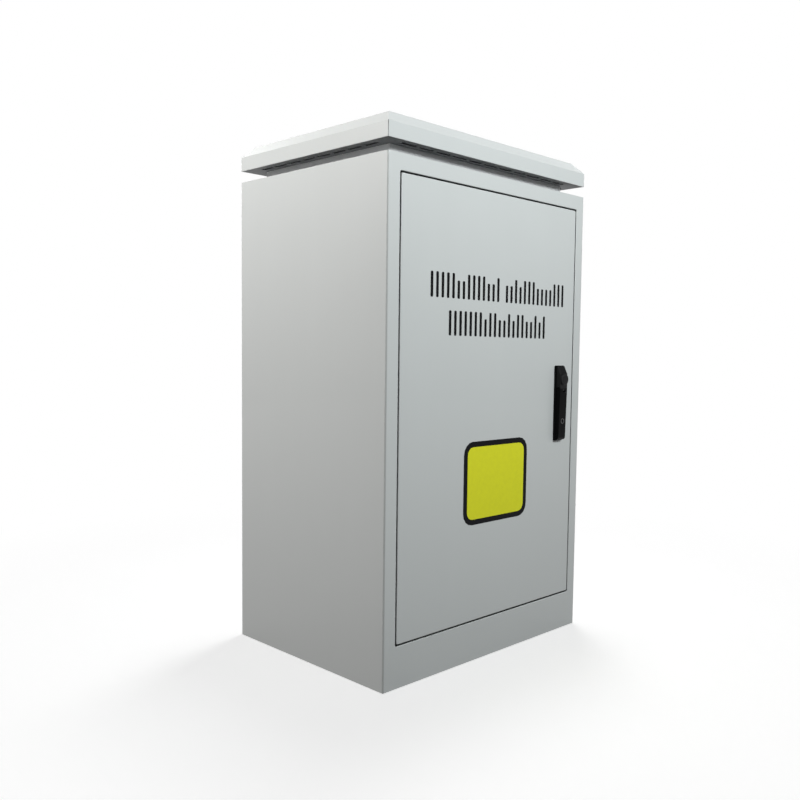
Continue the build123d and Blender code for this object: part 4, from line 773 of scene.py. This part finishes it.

# %% [markdown]
# The rail gear gets what an electrician would look for: clamp screws on the breakers, white marker
# tags on the terminals, black discs in the outlet that paint the shade of its contact holes, and
# screws along the earth bar. All of these stand on faces of the solids, whose places are read from
# the frame.

# %% Rail gear and earth bar
tag_white = moulded("tag_white", (0.80, 0.80, 0.78), 0.45)
breaker_low, breaker_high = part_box("breaker_bodies")
terminal_low, terminal_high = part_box("terminal_blocks")
socket_low, socket_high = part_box("service_socket")
bar_low, bar_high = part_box("earth_bar")
BREAKERS = 3
TERMINALS = 27
CLAMP_DROP = 0.031
CLAMP_RADIUS = 0.0028
CLAMP_PROUD = 0.0006
SHOULDER_DEPTH = 0.0085
TAG_SIZE = (0.0062, 0.007)
TAG_THICKNESS = 0.0006
TAG_ROUNDNESS = 0.1
SOCKET_DEPTH = 0.016
CONTACT_PITCH = 0.019
CONTACT_RADIUS = 0.0026
CONTACT_PROUD = 0.0002
EARTH_SCREWS = 12
EARTH_SPARE_PITCHES = 3
EARTH_RADIUS = 0.0042
EARTH_PROUD = 0.005
breaker_pitch = (breaker_high.x - breaker_low.x) / BREAKERS
breaker_x = breaker_low.x + breaker_pitch / 2
breaker_z = (breaker_low.z + breaker_high.z) / 2
shoulder = breaker_low.y + SHOULDER_DEPTH - TOUCH
head_field("breaker_screws", (breaker_x, shoulder, breaker_z - CLAMP_DROP), CLAMP_RADIUS, CLAMP_PROUD,
           (BREAKERS, 2), (breaker_pitch, 2 * CLAMP_DROP), bright_zinc, "cabinet")
terminal_pitch = (terminal_high.x - terminal_low.x) / TERMINALS
terminal_x = terminal_low.x + terminal_pitch / 2
terminal_z = (terminal_low.z + terminal_high.z) / 2
bar_field("terminal_tags", (terminal_x, terminal_low.y - TOUCH, terminal_z - TAG_SIZE[1] / 2), TAG_SIZE,
          (TERMINALS, 1), (terminal_pitch, 0.0), tag_white, "cabinet",
          thickness=TAG_THICKNESS, roundness=TAG_ROUNDNESS)
socket_x = (socket_low.x + socket_high.x) / 2 - CONTACT_PITCH / 2
# The contacts are black discs: painted shade of the outlet's holes.
head_field("socket_contacts", (socket_x, socket_low.y + SOCKET_DEPTH - TOUCH, breaker_z),
           CONTACT_RADIUS, CONTACT_PROUD, (2, 1), (CONTACT_PITCH, 0.0), black_film_and_painted_shade, "cabinet")
earth_pitch = (bar_high.x - bar_low.x) / (EARTH_SCREWS + EARTH_SPARE_PITCHES)
earth_x = -earth_pitch * (EARTH_SCREWS - 1) / 2
earth_z = (bar_low.z + bar_high.z) / 2
head_field("earth_screws", (earth_x, bar_low.y - TOUCH, earth_z), EARTH_RADIUS, EARTH_PROUD,
           (EARTH_SCREWS, 1), (earth_pitch, 0.0), bright_zinc, "cabinet")

# %% [markdown]
# The studio is a white sweep. The floor has to look white to the camera and keep the soft shadow at
# the cabinet's foot, without throwing more light on the object, so only camera and glossy rays see
# its extra glow, and a pace from the cabinet it passes into the plain white of the backdrop. What the
# floor gives back to the object comes from its plain shader, which is darker. Two soft lamps hang
# about half a metre higher than the canopy, one for each visible side, so that the sheet is brightest
# near the canopy and falls off towards the floor. A third hangs high over the cabinet and throws the
# pale shadow that fans out in front of the door. Of the five lamps, only that one reaches the floor.
# Two fills open up the sides that the photograph doesn't show.

# %% Studio
WHITE = (1.0, 1.0, 1.0)
FLOOR_SIZE = 14.0
FLOOR_LEVEL = -0.0002
FLOOR_GREY = (0.12, 0.12, 0.12)
SEEN_FLOOR_GREY = (0.80, 0.80, 0.80)
FLOOR_GLOW = 0.60
SWEEP_START = 1.3
SWEEP_SOFT = 0.4
WORLD_LEVEL = 0.26
SIDE_TINT = (1.0, 0.995, 0.975)
FRONT_TINT = (0.94, 0.995, 1.0)


def add_floor():
    """Adds the floor and returns a collection that keeps a lamp's light off it."""
    mesh = bpy.data.meshes.new("floor")
    half = FLOOR_SIZE / 2
    square = ((-half, -half), (half, -half), (half, half), (-half, half))
    mesh.from_pydata([(x, y, FLOOR_LEVEL) for x, y in square], [], [(0, 1, 2, 3)])
    floor = bpy.data.objects.new("floor", mesh)
    scene.collection.objects.link(floor)
    finish = Finish("pale_floor", FLOOR_GREY, 0.8, specular=0.0)
    tree = finish.tree
    matt = finish.add("ShaderNodeBsdfDiffuse", {}, {"Color": (*SEEN_FLOOR_GREY, 1)})
    glow = finish.add("ShaderNodeEmission", {}, {"Color": (*WHITE, 1), "Strength": FLOOR_GLOW})
    near = finish.add("ShaderNodeAddShader", {}, {0: matt, 1: glow})
    far = finish.add("ShaderNodeEmission", {}, {"Color": (*WHITE, 1), "Strength": 1.0})
    distance = (finish.axis("X") ** 2 + finish.axis("Y") ** 2) ** 0.5
    away = distance.above(SWEEP_START, SWEEP_SOFT)
    sweep = finish.add("ShaderNodeMixShader", {}, {0: away, 1: near, 2: far})
    rays = tree.nodes.new("ShaderNodeLightPath")
    seen = Wire(finish, rays.outputs["Is Camera Ray"]) + Wire(finish, rays.outputs["Is Glossy Ray"])
    plain = Wire(finish, finish.shader.outputs[0])
    mixed = finish.add("ShaderNodeMixShader", {}, {0: seen, 1: plain, 2: sweep})
    tree.links.new(mixed.socket, tree.nodes["Material Output"].inputs["Surface"])
    wear(floor, finish.material)
    shielded = bpy.data.collections.new("not_the_floor")
    shielded.objects.link(floor)
    shielded.collection_objects[0].light_linking.link_state = "EXCLUDE"
    return shielded


def add_world():
    world = bpy.data.worlds.new("studio")
    scene.world = world
    world.use_nodes = True
    tree = world.node_tree
    light = tree.nodes["Background"]
    backdrop = tree.nodes.new("ShaderNodeBackground")
    for shader, strength in ((light, WORLD_LEVEL), (backdrop, 1.0)):
        shader.inputs["Color"].default_value = (*WHITE, 1.0)
        shader.inputs["Strength"].default_value = strength
    rays = tree.nodes.new("ShaderNodeLightPath")
    mix = tree.nodes.new("ShaderNodeMixShader")
    tree.links.new(rays.outputs["Is Camera Ray"], mix.inputs[0])
    tree.links.new(light.outputs[0], mix.inputs[1])
    tree.links.new(backdrop.outputs[0], mix.inputs[2])
    tree.links.new(mix.outputs[0], tree.nodes["World Output"].inputs["Surface"])


def add_lamp(name, at, towards, size, power, tint=WHITE, receivers=None):
    """A soft rectangular lamp; without receivers it lights everything."""
    data = bpy.data.lights.new(name, "AREA")
    data.shape = "RECTANGLE"
    data.size, data.size_y = size
    data.energy = power
    data.color = tint
    lamp = bpy.data.objects.new(name, data)
    aim = Vector(towards) - Vector(at)
    lamp.rotation_euler = aim.to_track_quat("-Z", "Y").to_euler()
    lamp.location = at
    lamp.light_linking.receiver_collection = receivers
    scene.collection.objects.link(lamp)
    print(name, power, "W")


not_the_floor = add_floor()
add_world()
add_lamp("side_softbox", at=(-1.70, 0.50, 1.69), towards=(-0.3, 0.0, 1.6), size=(0.6, 0.6), power=33.0,
         tint=SIDE_TINT, receivers=not_the_floor)
add_lamp("front_softbox", at=(0.03, -1.77, 1.50), towards=(0.0, -0.2, 1.6), size=(0.6, 0.5), power=29.5,
         tint=FRONT_TINT, receivers=not_the_floor)
add_lamp("back_lamp", at=(0.70, 0.45, 3.8), towards=(0.0, 0.0, 0.0), size=(0.5, 1.2), power=36.0)
add_lamp("right_fill", at=(2.6, 1.0, 1.7), towards=(0.3, 0.0, 0.5), size=(1.4, 1.2), power=45.0,
         receivers=not_the_floor)
add_lamp("rear_fill", at=(0.4, 2.8, 1.9), towards=(0.0, 0.3, 0.5), size=(1.4, 1.2), power=30.0,
         receivers=not_the_floor)
scene.view_settings.view_transform = "Standard"
